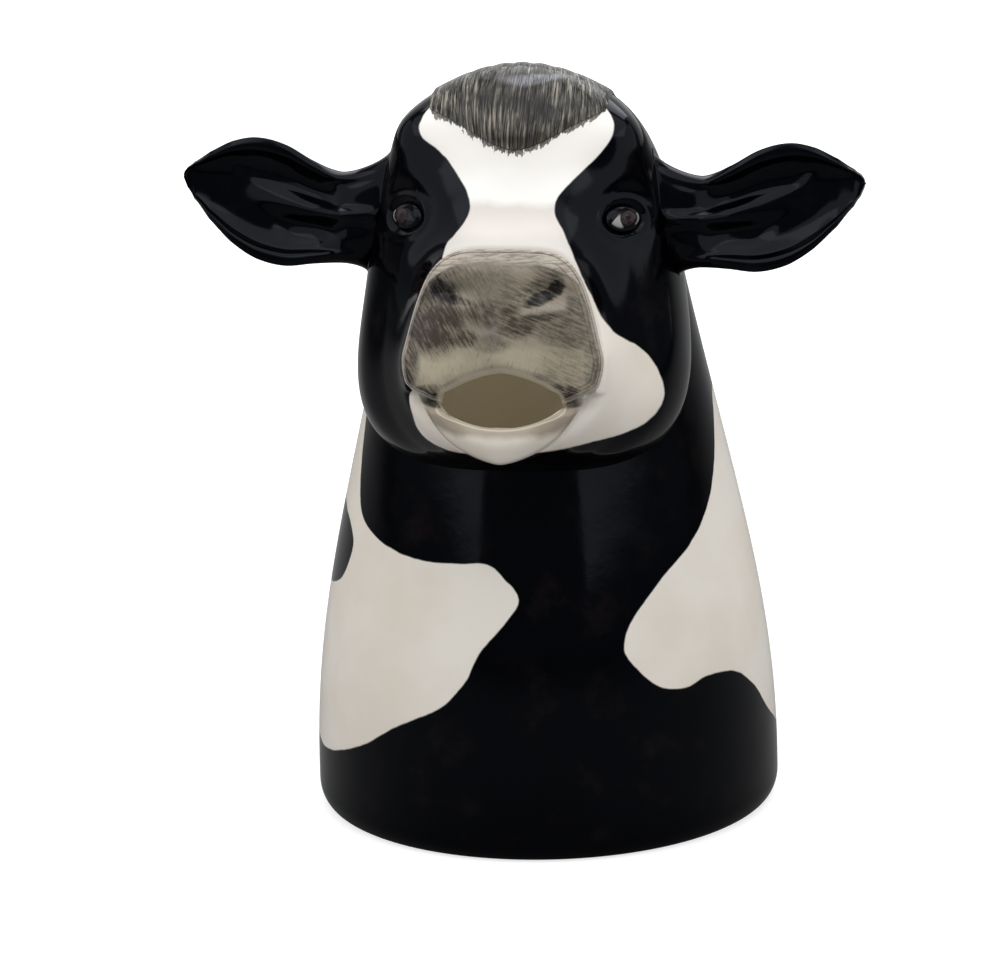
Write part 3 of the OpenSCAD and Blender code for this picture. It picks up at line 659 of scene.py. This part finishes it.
# Grey round the nostrils, on the sides and at the corners of the mouth
dark = smudges(
    (-11, 23.8, 5.0, 6.2, 25, 1), (2.6, 22.5, 3.6, 1.9, 0, 0.78), (-7.6, 20.8, 4.4, 1.6, -8, 0.9),
    (6.3, 24.0, 4.4, 0.9, 8, 0.95), (9.6, 23.4, 3.4, 1.5, 0, 0.6), (-1.4, 24.5, 4.5, 2.4, 0, 0.75),
    (11.6, 24.6, 1.3, 3.6, 15, 0.7), (9.6, 21.8, 5.0, 2.6, -15, 0.6), (-9.3, 30.9, 3.8, 1.0, 6, 0.6),
    (7.6, 31.2, 3.4, 0.9, -8, 0.5), (-1.0, 28.4, 5.0, 3.2, 0, 0.38), (10.6, 15.8, 4.4, 3.6, -20, 0.3),
    (-14.6, 17, 1.8, 4.5, 0, 0.8), (14.2, 17, 1.5, 5, 0, 0.45), (10.4, 12.4, 2.8, 1.3, -18, 0.95),
    (7.4, 13.6, 2.4, 1.0, -30, 0.55), (-11.6, 12.3, 2.6, 0.9, 10, 0.6), (-8.4, 12.6, 2.4, 0.9, 28, 0.5),
    (-1.4, 19.7, 3.0, 1.5, 0, 0.42), (-5, 30.4, 3, 1, 0, 0.35))
dark = dark * (0.42 + brush * 0.7 + blot * 0.5)
tone = dark.mix(tone, ASH)
# A painted highlight along the lower edge of the right nostril
tone = smudges((6.4, 25.2, 3.6, 0.8, 8, 0.35)).mix(tone, colour(168, 160, 148))
# Black of the nostrils, and dark at the corners of the mouth, brushed there and painted shade in the
# recess
soot_and_corner_shade = smudges(
    (6.0, 26.9, 3.0, 1.3, 24, 1), (8.4, 28.6, 2.0, 1.3, 42, 1), (5.8, 28.1, 4.2, 2.2, 30, 0.62),
    (-10.3, 28.5, 1.6, 1.9, 15, 1), (-8.6, 27.1, 2.4, 1.1, -32, 0.95), (-6.3, 26.3, 2.2, 0.7, -8, 0.8),
    (-9.4, 28.4, 3.4, 2.4, -35, 0.6), (-10.4, 10.9, 2.6, 1.1, 0, 1), (11.2, 11.0, 2.2, 1.1, 0, 0.85),
    (-12.8, 12.1, 2.4, 0.6, -12, 0.9))
soot_and_corner_shade = (soot_and_corner_shade + (blot - 0.5) * 0.28 + (brush - 0.5) * 0.3).step(0.22, 1.12)
tone = soot_and_corner_shade.mix(tone, SOOT)
tone = (strokes(76, 2.4, 7, 0.56, 0.7) * 0.4).mix(tone, ASH)
# The pad's pale rim, brushed and also a painted highlight along its raised edge, with dark lines
# beside it, and the pale edge of the lip, a painted highlight on its rolled edge
seam, lip = field(tree, "seam"), field(tree, "lip")
band = up.step(29.0, 32.0)
uneven = (noise(place, 300, 2.0) - 0.5) * 0.5
rim = seam - 0.5 - band * 1.7 + uneven * 1.6
rim_strokes = strokes(4, 2.6, 7, 0.42, 0.6) * (0.2 + band * 0.75)
rim_tone = rim_strokes.mix(colour(180, 171, 159), colour(128, 119, 108))
# Pale rim: brushed paint, and a painted highlight along the pad's raised edge
brushed_rim_and_highlight = (1 - rim.step(-0.15 - band * 0.7, 0.3 + band * 0.4)) * (1 - band * 0.2)
tone = brushed_rim_and_highlight.mix(tone, rim_tone)
beside = rim.step(-0.15, 0.1) * (1 - rim.step(0.2, 0.75)) * (0.1 + blot * 0.6)
tone = (beside * (0.25 + (across * across).step(9, 64) * 0.75)).mix(tone, SOOT)
first = seam + uneven * 0.3
thin = first.step(0.22, 0.34) * (1 - first.step(0.38, 0.52))
second = seam + uneven * 0.5
second = second.step(1.15, 1.3) * (1 - second.step(1.38, 1.6)) * across.step(6, 9) * 0.6
tone = (thin.most(second) * (0.4 + blot * 0.4)).mix(tone, SOOT)
# A painted highlight on the rolled edge of the lip
tone = ((1 - lip.step(0.2, 0.9)) * 0.6).mix(tone, colour(222, 212, 190))
tone = field(tree, "inside").mix(tone, INSIDE)
finish_glaze(shader, place, tone)
muzzle.data.materials.append(muzzle_glaze)
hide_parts("muzzle")
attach(muzzle, "root")

# The jaw closes the rest of the ring, JAW_GAP degrees from the muzzle, with its sides tucked in
JAW_GAP = 0.8
span = 180 - 2 * JAW_GAP
columns = np.linspace(0, 1, JAW_COLUMNS)
jaw = pad("jaw_pad", front_pad(180 + JAW_GAP + CORNER + (span - 2 * CORNER) * columns,
                               180 + JAW_GAP + span * columns, TUCK))
jaw_glaze, tree, shader, place = glaze("jaw_glaze")
across, up = field(tree, "across"), field(tree, "up")
seam, lip = field(tree, "seam"), field(tree, "lip")
cloud = noise(place, 300, 3.0, 0.6)
# The jaw's cream, greyer than the head's as painted shade
tone = noise(place, 90, 3.0).step(0.35, 0.7).mix(colour(234, 226, 214), colour(224, 214, 200))
outward = (across * across).step(4, 50)
# Painted shade on the lip's inner slope below the mouth, wider towards the corners
shade = lip.step(0.3, 0.6) * (1 - (lip - outward * 0.9 - (cloud - 0.5)).step(0.8, 2.3))
tone = (shade * (0.66 + outward * 0.2)).mix(tone, colour(138, 126, 108))
# Painted shade along the very edge of the lip
tone = ((1 - lip.step(0.2, 0.5)) * 0.9).mix(tone, colour(158, 147, 126))
# A dark line along the joint with the cheek, painted shade in the crease
tone = ((1 - seam.step(0.1, 0.4)) * 0.35).mix(tone, colour(128, 119, 104))
# Dark at the corners of the mouth, brushed there and painted shade in the recess
soot_and_corner_shade = smudges((-10.8, 10.5, 3.0, 0.9, -14, 1), (11.4, 10.7, 3.0, 0.85, 12, 0.8),
               (-12.8, 11.3, 2.0, 0.5, -20, 0.9), (-8.6, 9.4, 2.8, 0.7, -30, 0.7))
soot_and_corner_shade = (soot_and_corner_shade + (cloud - 0.5) * 1.2).step(0.3, 1.15)
tone = soot_and_corner_shade.mix(tone, colour(48, 44, 36))
# The jaw's inside is a darker cream than the head's, as painted shade
tone = field(tree, "inside").mix(tone, colour(206, 192, 166))
finish_glaze(shader, place, tone)
jaw.data.materials.append(jaw_glaze)
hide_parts("lower_jaw")
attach(jaw, "root")


# Ears. Two cupped leaves of clay with a rolled rim, pressed on the sides of the head behind the eyes
# and smoothed into it. Both are glazed black all over.
EAR_SPAN, EAR_H, EAR_T, EAR_DISH = 109.0, 20.4, 3.4, 4.0
# Sections from root to tip: place, upper edge, lower edge, thickness, hollow
EAR_SECTIONS = np.array([
    [0.00, 0.20, -0.52, 2.50, 0.0], [0.12, 0.20, -0.515, 2.05, 0.4], [0.25, 0.27, -0.525, 1.50, 0.9],
    [0.42, 0.40, -0.545, 1.10, 1.0], [0.58, 0.455, -0.49, 1.00, 1.0], [0.72, 0.425, -0.365, 0.95, 0.9],
    [0.85, 0.34, -0.185, 0.85, 0.6], [0.94, 0.262, -0.025, 0.75, 0.3], [0.975, 0.225, 0.055, 0.65, 0.1],
    [0.992, 0.19, 0.115, 0.5, 0.0], [1.00, 0.155, 0.15, 0.30, 0.0]])
EAR_RISE, EAR_FORWARD, EAR_ROOT = HEAD_H * 0.683, HEAD_REACH + HEAD_L * 0.44, HEAD_W * 0.49
ROOT_RING, ROOT_RUN, ROOT_ANGLE, ROOT_TURN = 2.4, 0.55, 26, 19
EAR_ROWS, EAR_TURNS = 90, 96


def section_at(s):
    """The columns of EAR_SECTIONS at a place between root and tip."""
    places = EAR_SECTIONS[:, 0]
    i = np.clip(np.searchsorted(places, s, side="right") - 1, 0, len(places) - 2)
    return between_rows(EAR_SECTIONS, i, (s - places[i]) / (places[i + 1] - places[i]))


def ear_at(s, b):
    """A point of the ear: s from root to tip, b the angle round a section, front side first."""
    s, b = np.broadcast_arrays(s, b)
    _, upper, lower, thick, hollow = section_at(s)
    mid, half = EAR_H * (upper + lower) / 2, EAR_H * (upper - lower) / 2
    v, w = np.cos(b), np.sin(b)
    ridge = 1.5 * np.exp(-((v - 0.04) / (0.13 + 0.2 * s)) ** 2) * ease((0.8 - s) / 0.5) * ease(s / 0.12)
    rim = 0.75 * ease((np.abs(v) - 0.72) / 0.08) * ease((1 - np.abs(v)) / 0.16) * ease((s - 0.04) / 0.14)
    gully = np.exp(-((np.abs(v - 0.04) - 0.42) / 0.2) ** 4)
    gully = gully * ease((0.62 - s + 0.25 * v) / 0.12) * ease((s - 0.1) / 0.1)
    relief = np.where(w > 0, ridge + rim - 0.55 * gully, 0)
    front = EAR_DISH * hollow * (np.abs(v) ** 2.4 - 0.48) + relief
    return to_world(EAR_ROOT + (EAR_SPAN / 2 - EAR_ROOT) * s,
                    EAR_FORWARD + front + EAR_T * thick / 2 * np.sign(w) * np.abs(w) ** 0.8,
                    HEAD_RISE + EAR_RISE + mid + half * v)


b = np.linspace(0, 2 * math.pi, EAR_TURNS, endpoint=False)[None, :]
s = 0.12 + 0.88 * (1 - (1 - np.linspace(0, 0.99, EAR_ROWS)[:, None]) ** 1.7)
blade = ear_at(s, b)
foot = np.array([head_out(ROOT_RING + ROOT_RUN * k * np.sin(b[0]),
                          ROOT_ANGLE + ROOT_TURN * k * np.cos(b[0]), SLIP) for k in (0.3, 0.65, 1.0)])
lean = (ear_at(s[:1] + 0.01, b) - blade[:1])[0] * 7.2
between = foot[-1] * [1, 0.5, 0.5] + blade[0] * [0, 0.5, 0.5]
join = bezier([foot[-1], between, blade[0] - lean, blade[0]], np.linspace(0, 1, 18)[1:-1, None])
points = np.concatenate([foot, join, blade])
faces = grid_faces(len(points), EAR_TURNS)[:, ::-1]
ear_glaze, tree, shader, place = glaze("ear_glaze")
ink = noise(place, 200, 4.0, 0.6).step(0.45, 0.85).mix(BLACK, colour(8, 8, 12))
finish_glaze(shader, place, ink)
for name, node, flip in (("ear_left", "left_ear", 1), ("ear_right", "right_ear", -1)):
    ear = clay(name, points * [flip, 1, 1], faces if flip > 0 else faces[:, ::-1])
    ear.data.materials.append(ear_glaze)
    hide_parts(node)
    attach(ear, "root")


# Forelock. A thin pad of clay on the poll with combed locks that end in a point on the forehead,
# brushed in black, grey and beige strokes.
LOCK_EDGE, LOCK_T, LOCK_GROOVE, LOCK_BACK = 0.12, 2.25, 0.22, 0.81
PAD_GAP = 0.24
LOCK_COLUMNS, LOCK_ROWS, UNDER_ROWS, LOCKS = 180, 80, 12, 9
v = np.linspace(-1, 1, LOCK_COLUMNS)[:, None]
back = seat_ring(90 + LOCK_TURN * v, 0.0) + LOCK_BACK
front = LOCK_FRONT + LOCK_POINT * (1 - np.abs(v) ** LOCK_CURVE)


def lock_points(f, out):
    """Points of the pad: f from the nape to its front edge, out from the head."""
    angle = 90 + LOCK_TURN * v + 0 * f
    return head_out(back + (front - back) * f, angle, out)


f = np.linspace(0, 1, LOCK_ROWS)[None, :]
dome = np.maximum(1 - v * v, 0) ** 2.5 * np.sin(np.pi * (0.04 + 0.93 * f)) ** 0.6
groove = LOCK_GROOVE * np.abs(np.sin(np.pi * LOCKS * (v * 0.5 + 0.5)))
laid = 0.25 + 0.75 * ease((1 - f) / 0.06) * ease((1 - np.abs(v)) / 0.05)
thick = LOCK_T * (LOCK_EDGE + (1 - LOCK_EDGE) * dome) - (LOCK_GROOVE - groove) * dome
top = lock_points(f, (PAD_GAP + thick) * laid)
back_f = np.linspace(1, 0, UNDER_ROWS)[None, :]
laid = 0.1 + 0.9 * ease((1 - back_f) / 0.06) * ease((1 - np.abs(v)) / 0.05)
under = lock_points(back_f, PAD_GAP * laid)
points = np.concatenate([top, under], 1)
fan = v * LOCK_STRANDS * (1 - LOCK_FAN * f) + 0.5 * np.sin(f * 4 + v * 3)
strand = np.concatenate([fan, np.broadcast_to(v * LOCK_STRANDS, under.shape[:2])], 1)
along_lock = np.concatenate([np.broadcast_to(f, top.shape[:2]), np.ones(under.shape[:2])], 1)
forelock = clay("forelock_pad", points, pad_faces(LOCK_COLUMNS, points.shape[1], LOCK_ROWS),
                {"strand": strand.ravel(), "run": along_lock.ravel()})
forelock_glaze, tree, shader, place = glaze("forelock_glaze")
strand, run = field(tree, "strand"), field(tree, "run")
comb = place.make("CombineXYZ", X=strand, Y=run * 1.1, Z=0.0)
hair = noise(comb, 3.0, 3.0, 0.6, Distortion=0.25).step(0.5, 0.6)
fine = noise(comb, 7.0, 3.0, 0.6).step(0.42, 0.62)
clump = noise(place, 190, 3.0, 0.6).step(0.38, 0.62)
warm = noise(place, 70, 2.0).step(0.4, 0.6).most(run.step(0.55, 0.9))
edge = (strand * strand).step(40, 190)
dark = edge.mix(colour(41, 39, 36), colour(18, 18, 17))
tone = (fine * (0.36 + clump * 0.56)).mix(dark, colour(106, 103, 98))
light = warm.mix(colour(146, 143, 137), colour(153, 145, 130))
tone = (hair * (0.22 + clump * 0.7)).mix(tone, light)
# Painted highlights: a lighter grey over the crown and bluish glints across the top of the locks
crown = 1 - (run - 0.3).step(-0.1, 0.15)
side_way, fall = (strand + 1.6) / 4.6, (run - 0.66 + strand * strand * 0.002) / 0.045
glint = 1 - (side_way * side_way + fall * fall + (fine - 0.5) * 0.6).step(0.3, 1.2)
tone = (glint * (0.15 + fine * 0.5)).mix(tone, colour(172, 173, 182))
tone = (crown * (0.25 + fine * 0.3)).mix(tone, colour(126, 126, 128))
finish_glaze(shader, place, tone, hair * 0.00012)
forelock.data.materials.append(forelock_glaze)
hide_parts("forelock")
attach(forelock, "root")


# Eyes. Two small domes of clay in the sockets, painted with a brown iris in a dark ring and white
# corners, under clear glaze.
EYE_H, EYE_BULGE = EYE_W * 0.84, 1.5
EYE_RINGS, EYE_TURNS = 26, 72


def ring_of(x, y):
    """Ring and angle of the face at a place across and up on it."""
    low, high = np.full(x.shape, 2.0), np.full(x.shape, 8.0)
    for _ in range(26):
        t = (low + high) / 2
        mid, half, over, under, sq_over, sq_under, narrow = ring_at(t)[:7]
        rise = y - mid
        wide = x / (1 - narrow * rise / over)
        h, n = np.where(rise >= 0, over, under), np.where(rise >= 0, sq_over, sq_under)
        within = (np.abs(wide) / half) ** n + (np.abs(rise) / h) ** n < 1
        low, high = np.where(within, t, low), np.where(within, high, t)
    return t, np.degrees(np.arctan2(rise, wide))


f = np.sin(np.linspace(0, 1, EYE_RINGS) * math.pi / 2)[:, None]
b = np.linspace(0, 2 * math.pi, EYE_TURNS, endpoint=False)[None, :]
ex, ey = f * np.cos(b), f * np.sin(b)
out = PAD_GAP + EYE_BULGE * np.sqrt(np.maximum(1 - f * f, 0)) + 0 * b
out[-1] = PAD_GAP
points = head_out(*ring_of(EYE_X + EYE_W / 2 * ex, EYE_Y + EYE_H / 2 * ey), out)
faces = grid_faces(EYE_RINGS, EYE_TURNS)
eye_glaze, tree, shader, place = glaze("eye_glaze")
out_way, up_way, bare = field(tree, "out_way"), field(tree, "up_way"), field(tree, "bare")
across, over = (out_way - 0.12) / 0.5, up_way / 0.82
gaze = (across * across + over * over) ** 0.5
lid = (out_way * out_way + up_way * up_way) ** 0.5
streak = noise(place, 900, 3.0, 0.7).step(0.35, 0.7)
tone = streak.mix(colour(30, 22, 23), colour(66, 52, 52))
tone = (1 - gaze.step(0.3, 0.42)).mix(tone, colour(14, 11, 12))
tone = gaze.step(0.84, 1.0).mix(tone, colour(6, 6, 7))
wedge = (out_way + 0.82 - (up_way + 0.6) * 0.3).step(0.0, 0.08) * (1 - out_way.step(-0.2, 0.0))
wedge = wedge * gaze.step(1.0, 1.1)
sliver = gaze.step(1.08, 1.14) * (1 - gaze.step(1.24, 1.32)) * out_way.step(0.45, 0.6)
sliver = sliver * (1 - (up_way * up_way).step(0.2, 0.4))
tone = (wedge * bare * (1 - (up_way + 0.15).step(0.1, 0.7))).mix(tone, colour(160, 159, 155))
tone = (sliver * 0.85).mix(tone, colour(140, 139, 137))
tone = lid.step(0.86, 0.95).mix(tone, colour(9, 9, 10))
finish_glaze(shader, place, tone)
# The white corner shows plainly in the cow's left eye only; in the right eye it is nearly hidden,
# partly for its sideways gaze and partly as painted shade over that eye
for name, node, flip in (("eye_left", "left_eye", 1), ("eye_right", "right_eye", -1)):
    eye = clay(name, points * [flip, 1, 1], faces if flip > 0 else faces[:, ::-1],
               {"out_way": ex.ravel(), "up_way": ey.ravel(), "bare": 0.9 if flip > 0 else 0.05})
    eye.data.materials.append(eye_glaze)
    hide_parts(node)
    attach(eye, "root")


# Handle. A pulled strap of clay at the back of the neck, luted at both ends and smoothed into the
# wall, glazed black.
HANDLE_TOP, HANDLE_LOW, HANDLE_REACH, HANDLE_W, HANDLE_T = 86.0, 33.0, 60.0, 10.0, 6.96
HANDLE_ROWS, HANDLE_TURNS, FLARE = 120, 64, 0.35


def handle_seat(x, z):
    """Depth of the vessel's wall behind a place across and up."""
    return np.sqrt((neck_r(z) + SLIP) ** 2 - x * x)


HANDLE_LINE = [(float(handle_seat(0, HANDLE_TOP)), HANDLE_TOP),
               (HANDLE_REACH * 1.22, HANDLE_TOP + HANDLE_W * 1.2),
               (HANDLE_REACH * 1.08, HANDLE_LOW + HANDLE_T * 0.6),
               (float(handle_seat(0, HANDLE_LOW)), HANDLE_LOW)]
b = -np.linspace(0, 2 * math.pi, HANDLE_TURNS, endpoint=False)[None, :]
u = np.linspace(0, 1, HANDLE_ROWS)[1:-1, None]
p = bezier(HANDLE_LINE, u[:, 0])
d = bezier(HANDLE_LINE, np.minimum(u[:, 0] + 0.01, 1))
d -= bezier(HANDLE_LINE, np.maximum(u[:, 0] - 0.01, 0))
d /= np.linalg.norm(d, axis=1, keepdims=True)
size = 1 + FLARE * np.exp(-np.minimum(u, 1 - u) / 0.06)
w, t = HANDLE_W / 2 * size * np.cos(b), HANDLE_T / 2 * size * np.sin(b)
strap = np.stack([w, p[:, :1] - d[:, 1:] * t, p[:, 1:] + d[:, :1] * t], -1)


def handle_foot(z, side, f):
    """A ring of the strap's end, pressed on the wall."""
    x = HANDLE_W / 2 * (1 + FLARE) * f * np.cos(b[0])
    up = z + side * HANDLE_T / 2 * (1 + FLARE) * f * np.sin(b[0])
    return np.stack([x, handle_seat(x, up), up], -1)[None]


points = np.concatenate([handle_foot(HANDLE_TOP, 1, 0.5), handle_foot(HANDLE_TOP, 1, 1), strap,
                         handle_foot(HANDLE_LOW, -1, 1), handle_foot(HANDLE_LOW, -1, 0.5)])
handle = clay("handle_strap", points, grid_faces(len(points), HANDLE_TURNS)[:, ::-1])
handle.data.materials.append(ear_glaze)
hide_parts("handle")
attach(handle, "root")


# Studio. A pale floor and backdrop, soft lamps at the sides, above and behind, and the camera at the
# photograph's angle.
WHITE = (1, 1, 1, 1)


def screen(name, corners):
    """A flat screen of the studio, and the node tree of its paint."""
    mesh = bpy.data.meshes.new(name)
    mesh.from_pydata(corners, [], [(0, 1, 2, 3)])
    piece = bpy.data.objects.new(name, mesh)
    bpy.context.scene.collection.objects.link(piece)
    paint = bpy.data.materials.new(name + "_paint")
    paint.use_nodes = True
    mesh.materials.append(paint)
    return piece, paint.node_tree


floor, tree = screen("floor", [(-40, -40, 0), (40, -40, 0), (40, 40, 0), (-40, 40, 0)])
shader = tree.nodes["Principled BSDF"]
shader.inputs["Base Color"].default_value = (0.4, 0.4, 0.4, 1)
shader.inputs["Roughness"].default_value = 0.9
shader.inputs["Specular IOR Level"].default_value = 0.0
seen = Wire.node(tree, "LightPath", output=0)
far = Wire.node(tree, "VectorMath", {"operation": "LENGTH"}, output=1,
                i0=Wire.node(tree, "NewGeometry")).step(0.1, 0.5)
white_light = Wire.node(tree, "Emission", Color=far.mix((0.72, 0.72, 0.72, 1), WHITE), Strength=1.0)
shown = Wire.node(tree, "AddShader", i0=Wire(tree, shader.outputs[0]), i1=white_light)
dull = Wire.node(tree, "BsdfDiffuse", Color=(0.22, 0.22, 0.22, 1))
mixed = Wire.node(tree, "MixShader", i0=seen, i1=dull, i2=shown)
tree.links.new(mixed.socket, tree.nodes["Material Output"].inputs["Surface"])
floor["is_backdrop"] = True

backdrop, tree = screen("backdrop", [(-5.4, 3, 0), (5.4, 3, 0), (5.4, 3, 4.7), (-5.4, 3, 4.7)])
lit = Wire.node(tree, "LightPath", output=0) + Wire.node(tree, "LightPath", output=3)
mixed = Wire.node(tree, "MixShader", i0=lit, i1=Wire.node(tree, "BsdfTransparent"),
                  i2=Wire.node(tree, "Emission", Color=WHITE, Strength=1.0))
tree.links.new(mixed.socket, tree.nodes["Material Output"].inputs["Surface"])
backdrop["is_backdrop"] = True

world = bpy.data.worlds.new("studio")
bpy.context.scene.world = world
world.use_nodes = True
tree = world.node_tree
tree.nodes.clear()
sky = Wire.node(tree, "Background", Color=(0.86, 0.92, 1.0, 1), Strength=0.22)
bright = Wire.node(tree, "Background", Color=WHITE, Strength=1.0)
mixed = Wire.node(tree, "MixShader", i0=Wire.node(tree, "LightPath", output=0), i1=sky, i2=bright)
tree.links.new(mixed.socket, tree.nodes.new("ShaderNodeOutputWorld").inputs["Surface"])


def softbox(name, place, aim, wide, high, power):
    """A soft lamp that shines on the jug and in its glaze, and isn't seen itself."""
    lamp = bpy.data.lights.new(name, "AREA")
    lamp.shape, lamp.size, lamp.size_y = "RECTANGLE", wide, high
    lamp.energy = power
    box = bpy.data.objects.new(name, lamp)
    box.location = place
    box.rotation_euler = (Vector(aim) - Vector(place)).to_track_quat("-Z", "Y").to_euler()
    bpy.context.scene.collection.objects.link(box)
    box.visible_camera = False


softbox("softbox_left", (-0.8, -0.45, 0.65), (0, 0, 0.06), 1.5, 1.1, 5.9)
softbox("softbox_right", (0.8, -0.4, 0.65), (0, 0, 0.06), 1.5, 1.1, 5.9)
softbox("softbox_top", (0.0, -0.3, 1.0), (0, 0, 0.07), 1.2, 0.9, 6.3)
softbox("softbox_back", (0.0, 0.55, 0.9), (0, 0, 0.09), 0.9, 0.7, 9.5)

AZIMUTH, ELEVATION, ROLL = math.radians(8.5), math.radians(16.5), 0.0258
CAMERA_REACH, SENSOR, LENS = 1.4, 36, 314.4
side_way = Vector((math.cos(AZIMUTH), math.sin(AZIMUTH), 0))
look_from = Vector((math.sin(AZIMUTH) * math.cos(ELEVATION), -math.cos(AZIMUTH) * math.cos(ELEVATION),
                    math.sin(ELEVATION)))
up_way = look_from.cross(side_way)
right = (side_way - ROLL * up_way).normalized()
top = look_from.cross(right).normalized()
# The middle of the picture, as seen from the middle of the foot
middle = side_way * -0.00677 + up_way * 0.05006 + look_from * 0.025
camera = bpy.data.objects.new("camera", bpy.data.cameras.new("camera"))
camera.data.sensor_width, camera.data.lens = SENSOR, LENS
camera.matrix_world = Matrix.Translation(middle + look_from * CAMERA_REACH) @ Matrix(
    (right, top, look_from)).transposed().to_4x4()
bpy.context.scene.collection.objects.link(camera)
bpy.context.scene.camera = camera
bpy.context.scene.view_settings.view_transform = "Standard"

low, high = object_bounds()
